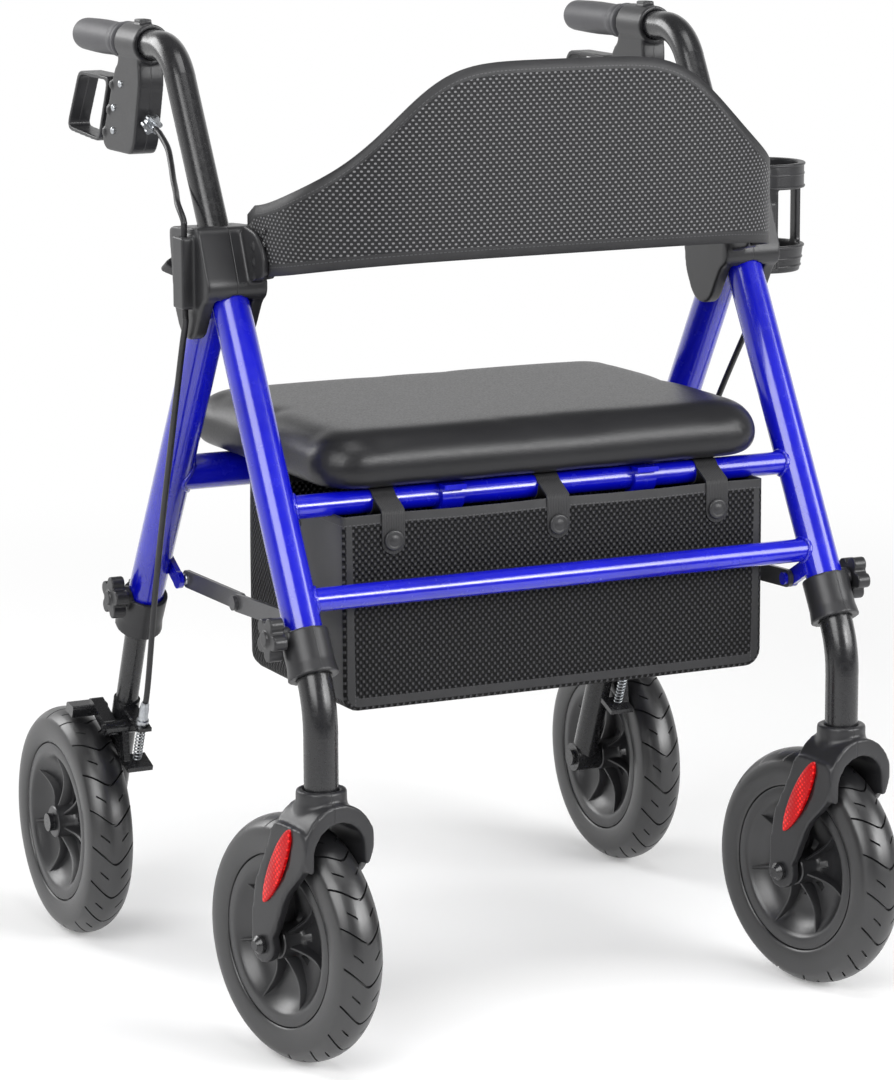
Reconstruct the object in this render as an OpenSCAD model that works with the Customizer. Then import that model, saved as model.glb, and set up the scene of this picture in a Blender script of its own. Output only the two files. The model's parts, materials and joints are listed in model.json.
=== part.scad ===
// Four-wheeled folding rollator walker with a padded seat, bag, backrest and hand brakes.
// Front is -Y, the user walks at +Y, +Z is up and the floor is z = 0. Sizes in mm.

/* [Frame] */
// Distance of each leg from the middle plane
leg_x = 270; // [250:1:300]
// Lean of the front legs from upright, degrees
front_lean = 29.5; // [28:0.1:31]
// Lean of the rear legs from upright, degrees
rear_lean = 30.3; // [29:0.1:32]
// Height where the front and rear leg axes cross
cross_z = 708.5; // [700:0.5:720]
// Fore-and-aft place where the leg axes cross
cross_y = -70.6; // [-76:0.1:-64]
// Drop of the fold pivot below that crossing, on the rear leg axis
fold_drop = 38; // [35:0.5:40]
// Outside diameter of the upper leg tubes
leg_d = 35; // [33:0.1:36]
// Wall of the upper leg tubes
leg_wall = 1.6; // [1.2:0.1:2]
// Height of the upper front crossbar, which carries the seat
bar_z = 499; // [485:0.5:515]
// Height of the lower front crossbar
low_bar_z = 422; // [415:0.5:430]
// Diameter of the two front crossbars
bar_d = 22; // [18:0.5:25]
// Diameter of the rear crossbar
rear_bar_d = 34; // [24:0.5:34]
// Diameter of the fold pivot pins
fold_pin_d = 10; // [8:0.5:12]

/* [Lower legs] */
// Fore-and-aft place of the caster stems
stem_y = -281; // [-290:0.5:-275]
// Bend radius of the front lower tubes
stem_bend = 100; // [80:1:110]
// How far the front lower tubes reach into the legs
front_overlap = 110; // [80:1:130]
// Diameter of the rear lower tubes
rear_tube_d = 22; // [20:0.5:24]
// How far the rear lower tubes reach into the legs
rear_overlap = 130; // [125:1:150]
// Height of the slight bend in the rear lower tubes
kink_z = 317; // [312:0.5:320]
// Bend radius of the rear lower tubes
kink_bend = 90; // [70:1:110]
// Fore-and-aft place of the rear axles
rear_axle_y = 239.4; // [232:0.1:246]
// Diameter of the sleeve at the foot of the rear lower tubes
foot_d = 26.4; // [25.6:0.1:28]

/* [Collars and knobs] */
// Outside diameter of the leg collars
collar_d = 44; // [41:0.5:48]
// Length of the leg collars
collar_l = 42; // [38:0.5:48]
// Depth of the narrow mouth of a collar below the leg tube
collar_mouth = 14; // [10:0.5:18]
// Height of the lower end of the rear collars
rear_collar_z = 327; // [326:0.5:332]
// Across the lobes of a leg knob
knob_d = 42; // [36:0.5:46]
// Thickness of a leg knob
knob_t = 13; // [10:0.5:16]
// Diameter of the knob screws
screw_d = 8; // [6:0.5:9]
// Across the lobes of a handle knob
post_knob_d = 62; // [54:0.5:62]

/* [Wheels and casters] */
// Diameter of the four wheels over the tyres
wheel_d = 228.6; // [222:0.2:232]
// Width of the tyres
tyre_w = 48; // [44:0.5:52]
// Diameter over the rim flanges
rim_d = 158; // [150:0.5:162]
// Width over the rim flanges
rim_w = 41; // [37:0.5:43]
// Number of spokes
spokes = 7; // [5:1:9]
// Height of the spoke ribs across the wheel
rib_h = 30; // [24:0.5:34]
// Thickness of the web between the spoke ribs
web_t = 5; // [4:0.5:8]
// Rounding of the pockets at the hub end
pocket_round = 26; // [16:1:30]
// Window through the web beside the hub
window_d = 11; // [8:0.5:13]
// Thickness of a spoke rib
spoke_t = 4.6; // [3.5:0.1:6]
// Diameter of the wheel hubs
hub_d = 34; // [30:0.5:38]
// Width of the wheel hubs
hub_w = 46; // [44:0.5:47]
// Diameter of the axles
axle_d = 10; // [8:0.5:12]
// Chevron grooves round a tyre
tread_n = 18; // [12:1:24]
// Depth of the tread grooves
tread_depth = 2.6; // [1.5:0.1:3.5]
// Distance of the caster wheel axle behind its stem
trail = 42; // [36:0.5:46]
// Swivel of the casters as they stand, degrees
caster_turn = 11; // [0:0.5:20]
// Thickness of a fork leg
fork_t = 10.5; // [8:0.5:12]
// Diameter of the fork collar
fork_collar_d = 46; // [42:0.5:50]

/* [Handles] */
// Height of the grip axis
grip_z = 897; // [880:0.5:915]
// Diameter of the handle tubes
post_d = 28.6; // [26:0.1:29]
// Bend radius of the handle tubes
post_bend = 54; // [48:0.5:60]
// Start of the grips behind the corner of the handle tubes
grip_out = 110.95; // [108:0.05:116]
// Length of the grips
grip_l = 116; // [105:0.5:125]
// Diameter of the grips
grip_d = 33; // [32:0.2:36]
// Height of the lower end of a handle tube inside its leg
post_end_z = 610; // [600:1:620]
// Width of the brake bracket
bracket_w = 26; // [24:0.5:30]
// Width of the brake lever strap
lever_w = 21.6; // [18:0.2:23]
// Thickness of the brake lever strap
lever_t = 4; // [3:0.1:5]

/* [Seat] */
// Width of the seat pad
seat_w = 468; // [440:1:480]
// Overhang of the seat pad in front of the front crossbar
seat_fore = 31; // [25:0.5:37]
// Overhang of the seat pad behind the rear crossbar
seat_aft = 79.5; // [65:0.5:90]
// Thickness of the seat board
board_t = 7; // [5:0.5:9]
// Thickness of the seat pad at its crown
pad_t = 41; // [32:0.5:46]

/* [Bag] */
// Width of the bag
bag_w = 437; // [400:1:450]
// Height of the bag's base
bag_base = 311; // [300:1:330]
// Height of the bag's rim
bag_rim = 487; // [480:1:487]
// Back of the bag
bag_back = 11; // [0:0.5:18]
// Thickness of the bag cloth
cloth_t = 2.4; // [2:0.1:3]
// Width of the hanging straps
strap_w = 23; // [18:0.5:26]
// Distance of the outer straps from the middle
strap_x = 168; // [160:0.5:176]

/* [Backrest] */
// Half width of the backrest at its ends
back_half = 252; // [248:0.5:254]
// Bow of the backrest in front of its ends
back_bow = 145; // [130:1:150]
// Height of the backrest's upper edge in the middle
back_top = 896; // [880:1:900]
// Drop of the upper edge from the middle to the ends
back_drop = 134; // [110:1:140]
// Height of the backrest's lower edge in the middle
back_low = 720; // [712:1:726]
// Drop of the lower edge from the middle to the ends
back_low_drop = 20; // [14:1:22]
// Thickness of the backrest cloth
back_t = 3.6; // [3:0.1:4.5]

/* [Cup holder] */
// Outside diameter of the cup holder's ring
cup_d = 84; // [78:0.5:88]
// Wall of the cup holder
cup_wall = 6; // [4:0.5:7]
// Height of the ring
cup_ring_h = 25; // [20:0.5:28]
// Height of the base cup
cup_base_h = 27; // [22:0.5:30]
// Level of the holder's underside
cup_z = 657; // [650:0.5:664]
// Height of the whole holder
cup_h = 108; // [95:0.5:112]

/* [Housings] */
// Width of a top housing
house_w = 61; // [58:0.5:64]
// Width of the rear leg's slot in a housing
slot_w = 36.8; // [36.4:0.1:38]

/* [Brakes] */
// Distance of the pull spring in front of the rear lower tube's axis
pull_out = 43; // [40:0.5:46]
// Clear gap between brake shoe and tyre at rest
shoe_gap = 4.6; // [4.2:0.1:6]
// Mean diameter of the return spring
coil_d = 8; // [7:0.1:10]
// Wire of the return spring
wire_d = 1.4; // [1:0.1:1.8]
// Turns of the return spring
coil_turns = 10; // [7:1:12]
// Diameter of the brake cables
cable_d = 6; // [5:0.1:7]

/* [Fits] */
// Sliding clearance on the radius of telescoping tubes
slide_gap = 0.3; // [0.2:0.05:0.4]
// Running clearance on the radius of pins
run_gap = 0.05; // [0.03:0.01:0.1]
// Clearance on the radius of parts fixed to each other
seat_gap = 0.05; // [0.02:0.01:0.1]
// Room between parts that turn past each other
part_gap = 0.5; // [0.4:0.1:0.8]

/* [Hidden] */
$fn = 48;

// Colours
frame_blue = "#1616c8";
dark_plastic = "#454548";
dark_tube = "#38383c";
cloth_black = "#1d1d1f";
pad_black = "#26262a";
tyre_grey = "#2c2c2e";
bright_steel = "#c9ccd0";
lens_red = "#d8141c";
grip_grey = "#6a6a6e";

// Lines of the leg axes, seen from the side
function front_y(z) = cross_y - (cross_z - z) * tan(front_lean);
function rear_y(z) = cross_y + (cross_z - z) * tan(rear_lean);
function front_at(z) = [leg_x, front_y(z), z];
function rear_at(z) = [leg_x, rear_y(z), z];

leg_bore = leg_d - 2 * leg_wall;
low_d = leg_bore - 2 * slide_gap;
leg_top_z = cross_z + 11;
wheel_r = wheel_d / 2;
fold_z = cross_z - fold_drop;
fold_y = rear_y(fold_z);
eye_d = leg_d + 1.2;

// Front lower tube: where its axis bends upright, and the collar above the bend
corner_z = cross_z - (cross_y - stem_y) / tan(front_lean);
corner_cut = stem_bend * tan(front_lean / 2);
front_collar_z = corner_z + corner_cut * cos(front_lean) + 0.4;
front_end_z = front_collar_z + collar_mouth * cos(front_lean);
rear_end_z = rear_collar_z + collar_mouth * cos(rear_lean);

// Rear lower tube: its lower run leans from the bend to the axle
kink_y = rear_y(kink_z);
foot_lean = atan2(rear_axle_y - kink_y, kink_z - wheel_r);
kink_cut = kink_bend * tan((rear_lean - foot_lean) / 2);
tyre_room = 0.8;
boss_half = foot_d / 2 + tyre_room / 2;
rear_wheel_x = leg_x + foot_d / 2 + tyre_room + tyre_w / 2;

// Crossbars level with each other where the seat rests
rear_bar_z = bar_z + bar_d / 2 - rear_bar_d / 2;
rear_bar_wall = 3;
seat_gap_z = 0.6;
seat_z = bar_z + bar_d / 2 + seat_gap_z;
seat_front = front_y(bar_z) - seat_fore;
seat_back = rear_y(rear_bar_z) + seat_aft;

// Folding side struts: end pivots stand off the legs, middle pivot just under the straight line
strut_w = 17;
strut_t = 4;
lug_t = 5;
lug_w = strut_w - 2;
strut_x = leg_x - leg_d / 2 - 1.5;
strut_pin_d = 7;
front_lug_z = 407;
front_lug_out = 30.6;
rear_lug_z = 397;
rear_lug_out = 28.8;
strut_sag = 2.4;
strut_share = 0.56;
strut_f = [front_y(front_lug_z) + front_lug_out * cos(front_lean), front_lug_z - front_lug_out * sin(front_lean)];
strut_r = [rear_y(rear_lug_z) - rear_lug_out * cos(rear_lean), rear_lug_z - rear_lug_out * sin(rear_lean)];
strut_m = strut_f + (strut_r - strut_f) * strut_share - [0, strut_sag];

// Caster fork
fork_gap = tyre_w / 2 + 3.5;
fork_half = fork_gap + fork_t;
tunnel_top = wheel_d + 6;
crown_top = tunnel_top + 17;
fork_top = crown_top + 10.4;
fork_floor = fork_top - 6.6;
stem_pin_d = 12;
stem_pin_end = tunnel_top + 2.6;

// Handle tube: where the leaning post would meet the level grip tube
post_corner_y = front_y(grip_z);
grip_y = post_corner_y + grip_out;
post_cut = post_bend * tan((90 - front_lean) / 2);
post_knob_z = cross_z + 22.5;
post_knob_out = 56;

// Brake bracket and lever, seen from the side
clamp_y = grip_y - 57;
clamp_l = 50;
clamp_d = post_d + 9;
lever_pivot = [grip_y + 24, grip_z - 67];
lever_pin_d = 6;
lever_eye_d = 18;
adjust_at = [grip_y - 41, grip_z - 71];
adjust_tilt = 110;
adjust_d = 7;
adjust_l = 24;

// Rear brake, in the frame of the rear lower tube with its foot on the axle
shoe_pivot = [22, 124];
shoe_pin_d = 8;
shoe_boss_d = 14;
stop_s = 136;
stop_t = 4;
tail_s = 91;
tail_t = 5;
spring_lo = tail_s + tail_t + 0.3;
spring_hi = stop_s - 0.3;
ferrule_l = 25;
ferrule_d = 9.6;
foot_top = stop_s + stop_t + 2;

// Cable route on the right side: points chosen along its run
guide_x = leg_x + house_w / 2 + 5;
guide_y = cross_y + 3;
guide_hi = cross_z + 26;
guide_lo = cross_z - 40;

// Point beside the rear lower tube: s up along it from the axle, out in front of it
function foot_point(s, out) = [
    leg_x,
    rear_axle_y - s * sin(foot_lean) - out * cos(foot_lean),
    wheel_r + s * cos(foot_lean) - out * sin(foot_lean)
];

// Corners of an outline rounded by short curves that start `cut` from each corner
function corner_curve(a, b, c, cut, n) =
    let (p = b + (a - b) * min(cut, 0.45 * norm(a - b)) / norm(a - b))
    let (q = b + (c - b) * min(cut, 0.45 * norm(c - b)) / norm(c - b))
    [for (i = [0:n]) let (t = i / n) (1 - t) * (1 - t) * p + 2 * t * (1 - t) * b + t * t * q];
function rounded(pts, cut, n = 4) = [
    for (i = [0:len(pts) - 1])
        each corner_curve(pts[(i + len(pts) - 1) % len(pts)], pts[i], pts[(i + 1) % len(pts)], cut, n)
];

// Smooth route through given points, and the tube swept along it
function spline(p0, p1, p2, p3, t) = 0.5 * (2 * p1 + (p2 - p0) * t + (2 * p0 - 5 * p1 + 4 * p2 - p3) * t * t
    + (3 * p1 - p0 - 3 * p2 + p3) * t * t * t);
function route(pts, n) = let (last = len(pts) - 1) concat(
    [for (i = [0:last - 1]) for (k = [0:n - 1])
        spline(pts[max(i - 1, 0)], pts[i], pts[i + 1], pts[min(i + 2, last)], k / n)],
    [pts[last]]);
function unit(v) = v / norm(v);
function heading(path, i) = unit(path[min(i + 1, len(path) - 1)] - path[max(i - 1, 0)]);

module tube_along(path, d, sides, across) {
    n = len(path);
    points = [
        for (i = [0:n - 1])
            let (t = heading(path, i), u = unit(cross(t, across)), v = cross(t, u))
            for (k = [0:sides - 1])
                path[i] + d / 2 * (cos(360 * k / sides) * u + sin(360 * k / sides) * v)
    ];
    walls = [
        for (i = [0:n - 2]) for (k = [0:sides - 1])
            let (a = i * sides + k, b = i * sides + (k + 1) % sides)
            each [[a, b + sides, b], [a, a + sides, b + sides]]
    ];
    caps = [
        [for (k = [0:sides - 1]) k],
        [for (k = [sides - 1:-1:0]) (n - 1) * sides + k]
    ];
    polyhedron(points = points, faces = concat(walls, caps), convexity = 6);
}

// Right-hand pieces are drawn and the left-hand ones mirrored
module side(s) {
    if (s < 0) mirror([1, 0, 0]) children();
    else children();
}

// Round bar between two points
module rod(p, q, d) {
    run = q - p;
    translate(p)
        rotate([0, acos(run[2] / norm(run)), atan2(run[1], run[0])])
            cylinder(d = d, h = norm(run));
}

// Round bar along X through a point seen from the side
module x_rod(x0, x1, at, d) {
    translate([x0, at[0], at[1]])
        rotate([0, 90, 0])
            cylinder(d = d, h = x1 - x0);
}

// Round bar along Y
module y_rod(y0, y1, x, z, d) {
    translate([x, y0, z])
        rotate([-90, 0, 0])
            cylinder(d = d, h = y1 - y0);
}

// Plate from a side outline, between two distances from the middle plane
module side_plate(x0, x1) {
    translate([x0, 0, 0])
        rotate([90, 0, 90])
            linear_extrude(x1 - x0)
                children();
}

// Bent piece of tube in a side plane: centre, bend radius, first angle, sweep.
// A bend swells a little over the straight runs, which reach into it.
bend_swell = 0.2;
bend_lap = 2;

module bent_tube(centre, radius, from, sweep, d) {
    translate([leg_x, centre[0], centre[1]])
        rotate([90, 0, 90])
            rotate(from)
                rotate_extrude(angle = sweep)
                    translate([radius, 0])
                        circle(d = d + bend_swell);
}

// Flat link outline with round ends
module link_2d(p, q, w) {
    run = q - p;
    translate(p) circle(d = w);
    translate(q) circle(d = w);
    translate(p)
        rotate(atan2(run[1], run[0]))
            translate([0, -w / 2])
                square([norm(run), w]);
}

// Frames of the leg axes: z up along the tube, x outward, y behind it
module on_front(z) {
    translate(front_at(z)) rotate([-front_lean, 0, 0]) children();
}

module on_rear(z) {
    translate(rear_at(z)) rotate([rear_lean, 0, 0]) children();
}

module on_foot() {
    translate([leg_x, rear_axle_y, wheel_r]) rotate([foot_lean, 0, 0]) children();
}

// Lug beside a leg with the stud that a strut turns on
module strut_lug(root, eye, reach) {
    run = eye - root;
    side_plate(strut_x, strut_x + lug_t) {
        translate(eye) circle(d = strut_w);
        translate(root)
            rotate(atan2(run[1], run[0]))
                translate([0, -lug_w / 2])
                    square([norm(run), lug_w]);
    }
    x_rod(strut_x - reach, strut_x + 1, eye, strut_pin_d);
    x_rod(strut_x - reach - 3, strut_x - reach, eye, strut_pin_d + 5);
}

front_strut_reach = part_gap + strut_t + part_gap;
rear_strut_reach = front_strut_reach + strut_t + part_gap;

// Welded front frame: two leaning legs and two crossbars
module front_frame() color(frame_blue) difference() {
    union() {
        for (s = [-1, 1]) side(s) {
            rod(front_at(front_end_z), front_at(leg_top_z), leg_d);
            strut_lug([front_y(front_lug_z), front_lug_z], strut_f, front_strut_reach);
        }
        x_rod(-leg_x, leg_x, [front_y(bar_z), bar_z], bar_d);
        x_rod(-leg_x, leg_x, [front_y(low_bar_z), low_bar_z], bar_d);
    }
    for (s = [-1, 1]) side(s) {
        rod(front_at(front_end_z - 20), front_at(leg_top_z + 20), leg_bore);
        on_front(front_collar_z)
            x_rod(0, leg_d, [0, collar_l - 2], screw_d + 2);
    }
    for (z = [bar_z, low_bar_z])
        x_rod(-leg_x, leg_x, [front_y(z), z], bar_d - 2 * leg_wall);
}

// Welded rear frame: two legs with pivot eyes and the rear crossbar
module rear_frame() color(frame_blue) difference() {
    union() {
        for (s = [-1, 1]) side(s) {
            rod(rear_at(rear_end_z), rear_at(fold_z), leg_d);
            x_rod(leg_x - leg_d / 2 + 0.4, leg_x + leg_d / 2 - 0.4, [fold_y, fold_z], eye_d);
            strut_lug([rear_y(rear_lug_z), rear_lug_z], strut_r, rear_strut_reach);
        }
        x_rod(-leg_x, leg_x, [rear_y(rear_bar_z), rear_bar_z], rear_bar_d);
    }
    for (s = [-1, 1]) side(s) {
        rod(rear_at(rear_end_z - 20), rear_at(fold_z - eye_d), leg_bore);
        x_rod(leg_x - leg_d, leg_x + leg_d, [fold_y, fold_z], fold_pin_d + 2 * run_gap);
        on_rear(rear_collar_z)
            x_rod(0, leg_d, [0, collar_l - 2], screw_d + 2);
    }
    x_rod(-leg_x, leg_x, [rear_y(rear_bar_z), rear_bar_z], rear_bar_d - 2 * rear_bar_wall);
}

// Moulded top housing: holds leg top, handle post, fold pivot and backrest end
module housing(s) color(dark_plastic) side(s) {
    inner = leg_x - house_w / 2;
    outer = leg_x + house_w / 2;
    profile = [for (p = [
        [-17, 35], [-39, -17], [-36, -28], [-26, -33], [-7, -64], [4, -70],
        [18, -70], [30, -63], [43, -40], [49, 3], [55, 26], [46, 31]
    ]) [cross_y, cross_z] + p];
    plan = [[inner, cross_y - 45], [outer, cross_y - 45], [outer, cross_y + 60], [inner, cross_y + 60]];
    lip = [for (p = [
        [-19, 38], [-52, 32], [-70, 14], [-70, -8], [-50, -11], [-30, -16], [-24, 10]
    ]) [cross_y, cross_z] + p];
    cheek = 4.5;
    lip_in = back_half - back_t / 2 - slide_gap - cheek;
    lip_out = max(back_half + back_t / 2 + slide_gap + cheek, inner + cheek);
    difference() {
        union() {
            intersection() {
                side_plate(inner, outer) polygon(rounded(profile, 7));
                translate([0, 0, cross_z - 90])
                    linear_extrude(180)
                        polygon(rounded(plan, 14));
            }
            side_plate(lip_in, lip_out) polygon(rounded(lip, 9));
            translate([outer - 2, guide_y - 12, guide_lo])
                cube([14, 24, guide_hi - guide_lo]);
            on_front(post_knob_z)
                y_rod(20, post_knob_out, 0, 0, 30);
            for (rise = [-12, 2, 16])
                x_rod(back_half, lip_out + 1.6, [cross_y - 47, cross_z + rise + 3], 6);
        }
        rod(front_at(cross_z - 120), front_at(leg_top_z), leg_d + 2 * seat_gap);
        rod(front_at(leg_top_z - 1), front_at(leg_top_z + 80), post_d + 2 * slide_gap);
        side_plate(leg_x - slot_w / 2, leg_x + slot_w / 2)
            polygon([for (p = [[-20, -18], [60, -18], [60, -90], [-60, -90], [-46, -52]]) [cross_y, cross_z] + p]);
        backrest_solid(2 * slide_gap);
        translate([guide_x, guide_y, guide_lo - 1])
            cylinder(d = cable_d + 2 * slide_gap, h = guide_hi - guide_lo + 2);
        on_front(post_knob_z)
            y_rod(0, post_knob_out + 1, 0, 0, screw_d + 2 * run_gap);
    }
    x_rod(inner + 2, outer - 2, [fold_y, fold_z], fold_pin_d);
}

// Backrest band: a bowed plan, high in the middle and sloping to the ends
function back_plan(turn) = [
    back_half * sign(sin(turn)) * sqrt(abs(sin(turn))),
    cross_y - 20 - back_bow * sqrt(cos(turn))
];
function back_slope(turn) = let (u = abs(turn) / 90) 0.81 / (1 + pow(0.322 / max(u, 0.001), 2.6)) + 0.22 * pow(u, 2.5);

module backrest_solid(extra) {
    turns = [for (i = [-18:18]) 89.9 * i / 18];
    thick = back_t / 2 + extra / 2;
    points = [
        for (i = [0:len(turns) - 1])
            let (a = turns[i], p = back_plan(a))
            let (q = back_plan(a - 0.05), r = back_plan(a + 0.05), t = unit(r - q), n = [-t[1], t[0]])
            let (lo = back_low - back_low_drop * pow(a / 90, 2) - extra)
            let (hi = back_top - back_drop * back_slope(a) + extra)
            each [
                [p[0] + thick * n[0], p[1] + thick * n[1], lo], [p[0] - thick * n[0], p[1] - thick * n[1], lo],
                [p[0] - thick * n[0], p[1] - thick * n[1], hi], [p[0] + thick * n[0], p[1] + thick * n[1], hi]
            ]
    ];
    last = 4 * (len(turns) - 1);
    walls = [
        for (i = [0:len(turns) - 2]) for (k = [0:3])
            let (a = 4 * i + k, b = 4 * i + (k + 1) % 4)
            each [[a, b, b + 4], [a, b + 4, a + 4]]
    ];
    polyhedron(points = points, faces = concat(walls, [[3, 2, 1, 0], [last, last + 1, last + 2, last + 3]]));
}

module backrest() color(cloth_black) backrest_solid(0);

// Clamp collar at the lower end of a leg, with the boss that takes its knob
module collar_body(bore) {
    difference() {
        union() {
            cylinder(d = collar_d, h = collar_l);
            cylinder(d1 = collar_d + 3, d2 = collar_d, h = 12);
            translate([-7, collar_d / 2 - 6, 2])
                cube([14, 13, collar_l - 8]);
            x_rod(leg_d / 2 - 2, knob_seat, [0, collar_l - 2], 20);
        }
        translate([0, 0, -1])
            cylinder(d = bore, h = collar_l + 2);
        translate([0, 0, collar_mouth])
            cylinder(d = leg_d + 2 * seat_gap, h = collar_l);
        x_rod(0, knob_seat + 5, [0, collar_l - 2], screw_d + 2 * run_gap);
        translate([-1, collar_d / 2 - 12, -1])
            cube([2, 24, collar_l + 2]);
    }
}

knob_seat = collar_d / 2 + 2.5;

module front_collar(s) color(dark_plastic) side(s) on_front(front_collar_z) collar_body(low_d + 2 * slide_gap);
module rear_collar(s) color(dark_plastic) side(s) on_rear(rear_collar_z) collar_body(rear_tube_d + 2 * slide_gap);

// Lobed clamp knob with its screw, turning about z
module lobed_knob(across, lobes, thick, lobe_d, screw_l) {
    core = across - lobe_d;
    translate([0, 0, part_gap]) {
        linear_extrude(thick) {
            circle(d = core);
            for (i = [0:lobes - 1])
                rotate(360 * i / lobes)
                    translate([core / 2, 0])
                        circle(d = lobe_d);
        }
        cylinder(d1 = core * 0.7, d2 = core * 0.5, h = thick + 2.5);
    }
    translate([0, 0, -screw_l])
        cylinder(d = screw_d, h = screw_l + part_gap + 1);
}

// Three-pointed clamp knob with its screw, turning about z
module star_knob(across, tips, thick, screw_l) {
    star = [for (i = [0:2 * tips - 1]) let (r = i % 2 == 0 ? across / 2 + 3 : across / 4) r * [
        cos(180 * i / tips), sin(180 * i / tips)
    ]];
    translate([0, 0, part_gap]) {
        linear_extrude(thick)
            polygon(rounded(star, 9, 5));
        cylinder(d1 = across * 0.55, d2 = across * 0.35, h = thick + 3);
    }
    translate([0, 0, -screw_l])
        cylinder(d = screw_d, h = screw_l + part_gap + 1);
}

module leg_knob(tip) {
    translate([knob_seat, 0, collar_l - 2])
        rotate([0, 90, 0])
            rotate(18)
                lobed_knob(knob_d, 5, knob_t, 14, knob_seat - tip);
}

module front_knob(s) color(dark_plastic) side(s) on_front(front_collar_z) leg_knob(low_d / 2 + slide_gap);
module rear_knob(s) color(dark_plastic) side(s) on_rear(rear_collar_z) leg_knob(rear_tube_d / 2 + slide_gap);

module post_knob(s) color(dark_plastic) side(s)
    on_front(post_knob_z)
        translate([0, post_knob_out, 0])
            rotate([-90, 0, 0])
                star_knob(post_knob_d, 3, 15, post_knob_out - post_d / 2 - slide_gap);

// Front lower tube: slides in the leg, bends upright and ends in the caster stem
module front_low(s) color(dark_tube) side(s) {
    bend_z = corner_z - corner_cut;
    bend_start = front_at(corner_z + corner_cut * cos(front_lean));
    axis = [0, sin(front_lean), cos(front_lean)];
    top = bend_start + (front_overlap + collar_mouth) * axis;
    difference() {
        union() {
            rod(bend_start - bend_lap * axis, top, low_d);
            bent_tube([stem_y + stem_bend, bend_z], stem_bend, 180 - front_lean, front_lean, low_d);
            rod([leg_x, stem_y, fork_floor + slide_gap], [leg_x, stem_y, bend_z + bend_lap], low_d);
            rod([leg_x, stem_y, stem_pin_end], [leg_x, stem_y, fork_floor + 4], stem_pin_d);
        }
        rod(bend_start + 4 * axis, top + 10 * axis, low_d - 2 * leg_wall);
    }
}

// Rear lower tube with its welded foot: axle boss, brake pivot and cable stop
module rear_low(s) color(dark_tube) side(s) {
    up = [0, -sin(rear_lean), cos(rear_lean)];
    down = [0, sin(foot_lean), -cos(foot_lean)];
    start = rear_at(kink_z) + kink_cut * up;
    top = start + (rear_overlap + collar_mouth) * up;
    centre = [start[1] - kink_bend * cos(rear_lean), start[2] - kink_bend * sin(rear_lean)];
    glide = 20;
    difference() {
        union() {
            rod(start - bend_lap * up, top, rear_tube_d);
            rod(top - glide * up, top, low_d);
            bent_tube(centre, kink_bend, foot_lean, rear_lean - foot_lean, rear_tube_d);
            rod(rear_at(kink_z) + (kink_cut - bend_lap) * down, [leg_x, rear_axle_y, wheel_r], rear_tube_d);
            on_foot() {
                cylinder(d = foot_d, h = foot_top);
                x_rod(-boss_half, boss_half, [0, 0], 30);
                translate([-7, -pull_out - 9, stop_s])
                    cube([14, pull_out + 9, stop_t]);
                side_plate(-6, 6)
                    link_2d([0, shoe_pivot[1]], [-shoe_pivot[0], shoe_pivot[1]], shoe_boss_d);
                x_rod(-6, shoe_arm_out + 2, [-shoe_pivot[0], shoe_pivot[1]], shoe_pin_d);
            }
        }
        rod(start + 4 * up, top + 10 * up, rear_tube_d - 2 * leg_wall);
        x_rod(leg_x - 30, leg_x + 30, [rear_axle_y, wheel_r], axle_d + 2 * seat_gap);
        on_foot()
            translate([0, -pull_out, stop_s - 1])
                cylinder(d = 7, h = stop_t + 2);
    }
}

// Brake shoe arm: turns on the foot's pin, pulled up at its tail, shoe over the tyre
shoe_arm_in = 6 + part_gap;
shoe_arm_out = 30;
shoe_reach = 52;

module shoe(s) color(dark_tube) side(s) on_foot() {
    pivot = [-shoe_pivot[0], shoe_pivot[1]];
    tail = [-pull_out, tail_s + tail_t / 2];
    shoe_r = wheel_r + shoe_gap;
    difference() {
        union() {
            x_rod(shoe_arm_in, shoe_arm_out, pivot, shoe_boss_d);
            side_plate(foot_d / 2 + tyre_room + 3, shoe_arm_out)
                link_2d(pivot, [18, shoe_r + 8], 11);
            difference() {
                side_plate(foot_d / 2 + tyre_room + 1, shoe_reach)
                    polygon(rounded([[9, shoe_r - 4], [27, shoe_r - 6], [27, shoe_r + 8], [9, shoe_r + 12]], 3));
                x_rod(0, shoe_reach + 5, [0, 0], 2 * shoe_r);
            }
            side_plate(shoe_arm_in, foot_d / 2)
                link_2d(pivot, tail + [5, 1], 10);
            translate([-13, -pull_out - 12, tail_s])
                cube([13 + foot_d / 2, 24, tail_t]);
            translate([0, -pull_out, tail_s])
                cylinder(d = 2.4, h = stop_s + 2 - tail_s);
        }
        x_rod(0, shoe_arm_out + 5, pivot, shoe_pin_d + 2 * run_gap);
    }
}

// Return spring between the tail of the shoe arm and the cable stop
module spring(s) color(bright_steel) side(s) on_foot() translate([0, -pull_out, 0]) {
    rings = 8 * coil_turns;
    free = spring_hi - spring_lo - wire_d;
    path = [for (i = [0:rings]) [
        coil_d / 2 * cos(45 * i), coil_d / 2 * sin(45 * i), spring_lo + wire_d / 2 + free * i / rings
    ]];
    gap = min([for (i = [0:rings - 8]) norm(path[i + 8] - path[i]) - wire_d]);
    echo(str("least gap between spring turns: ", gap));
    tube_along(path, wire_d, 6, [0, 0, 1]);
}

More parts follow.
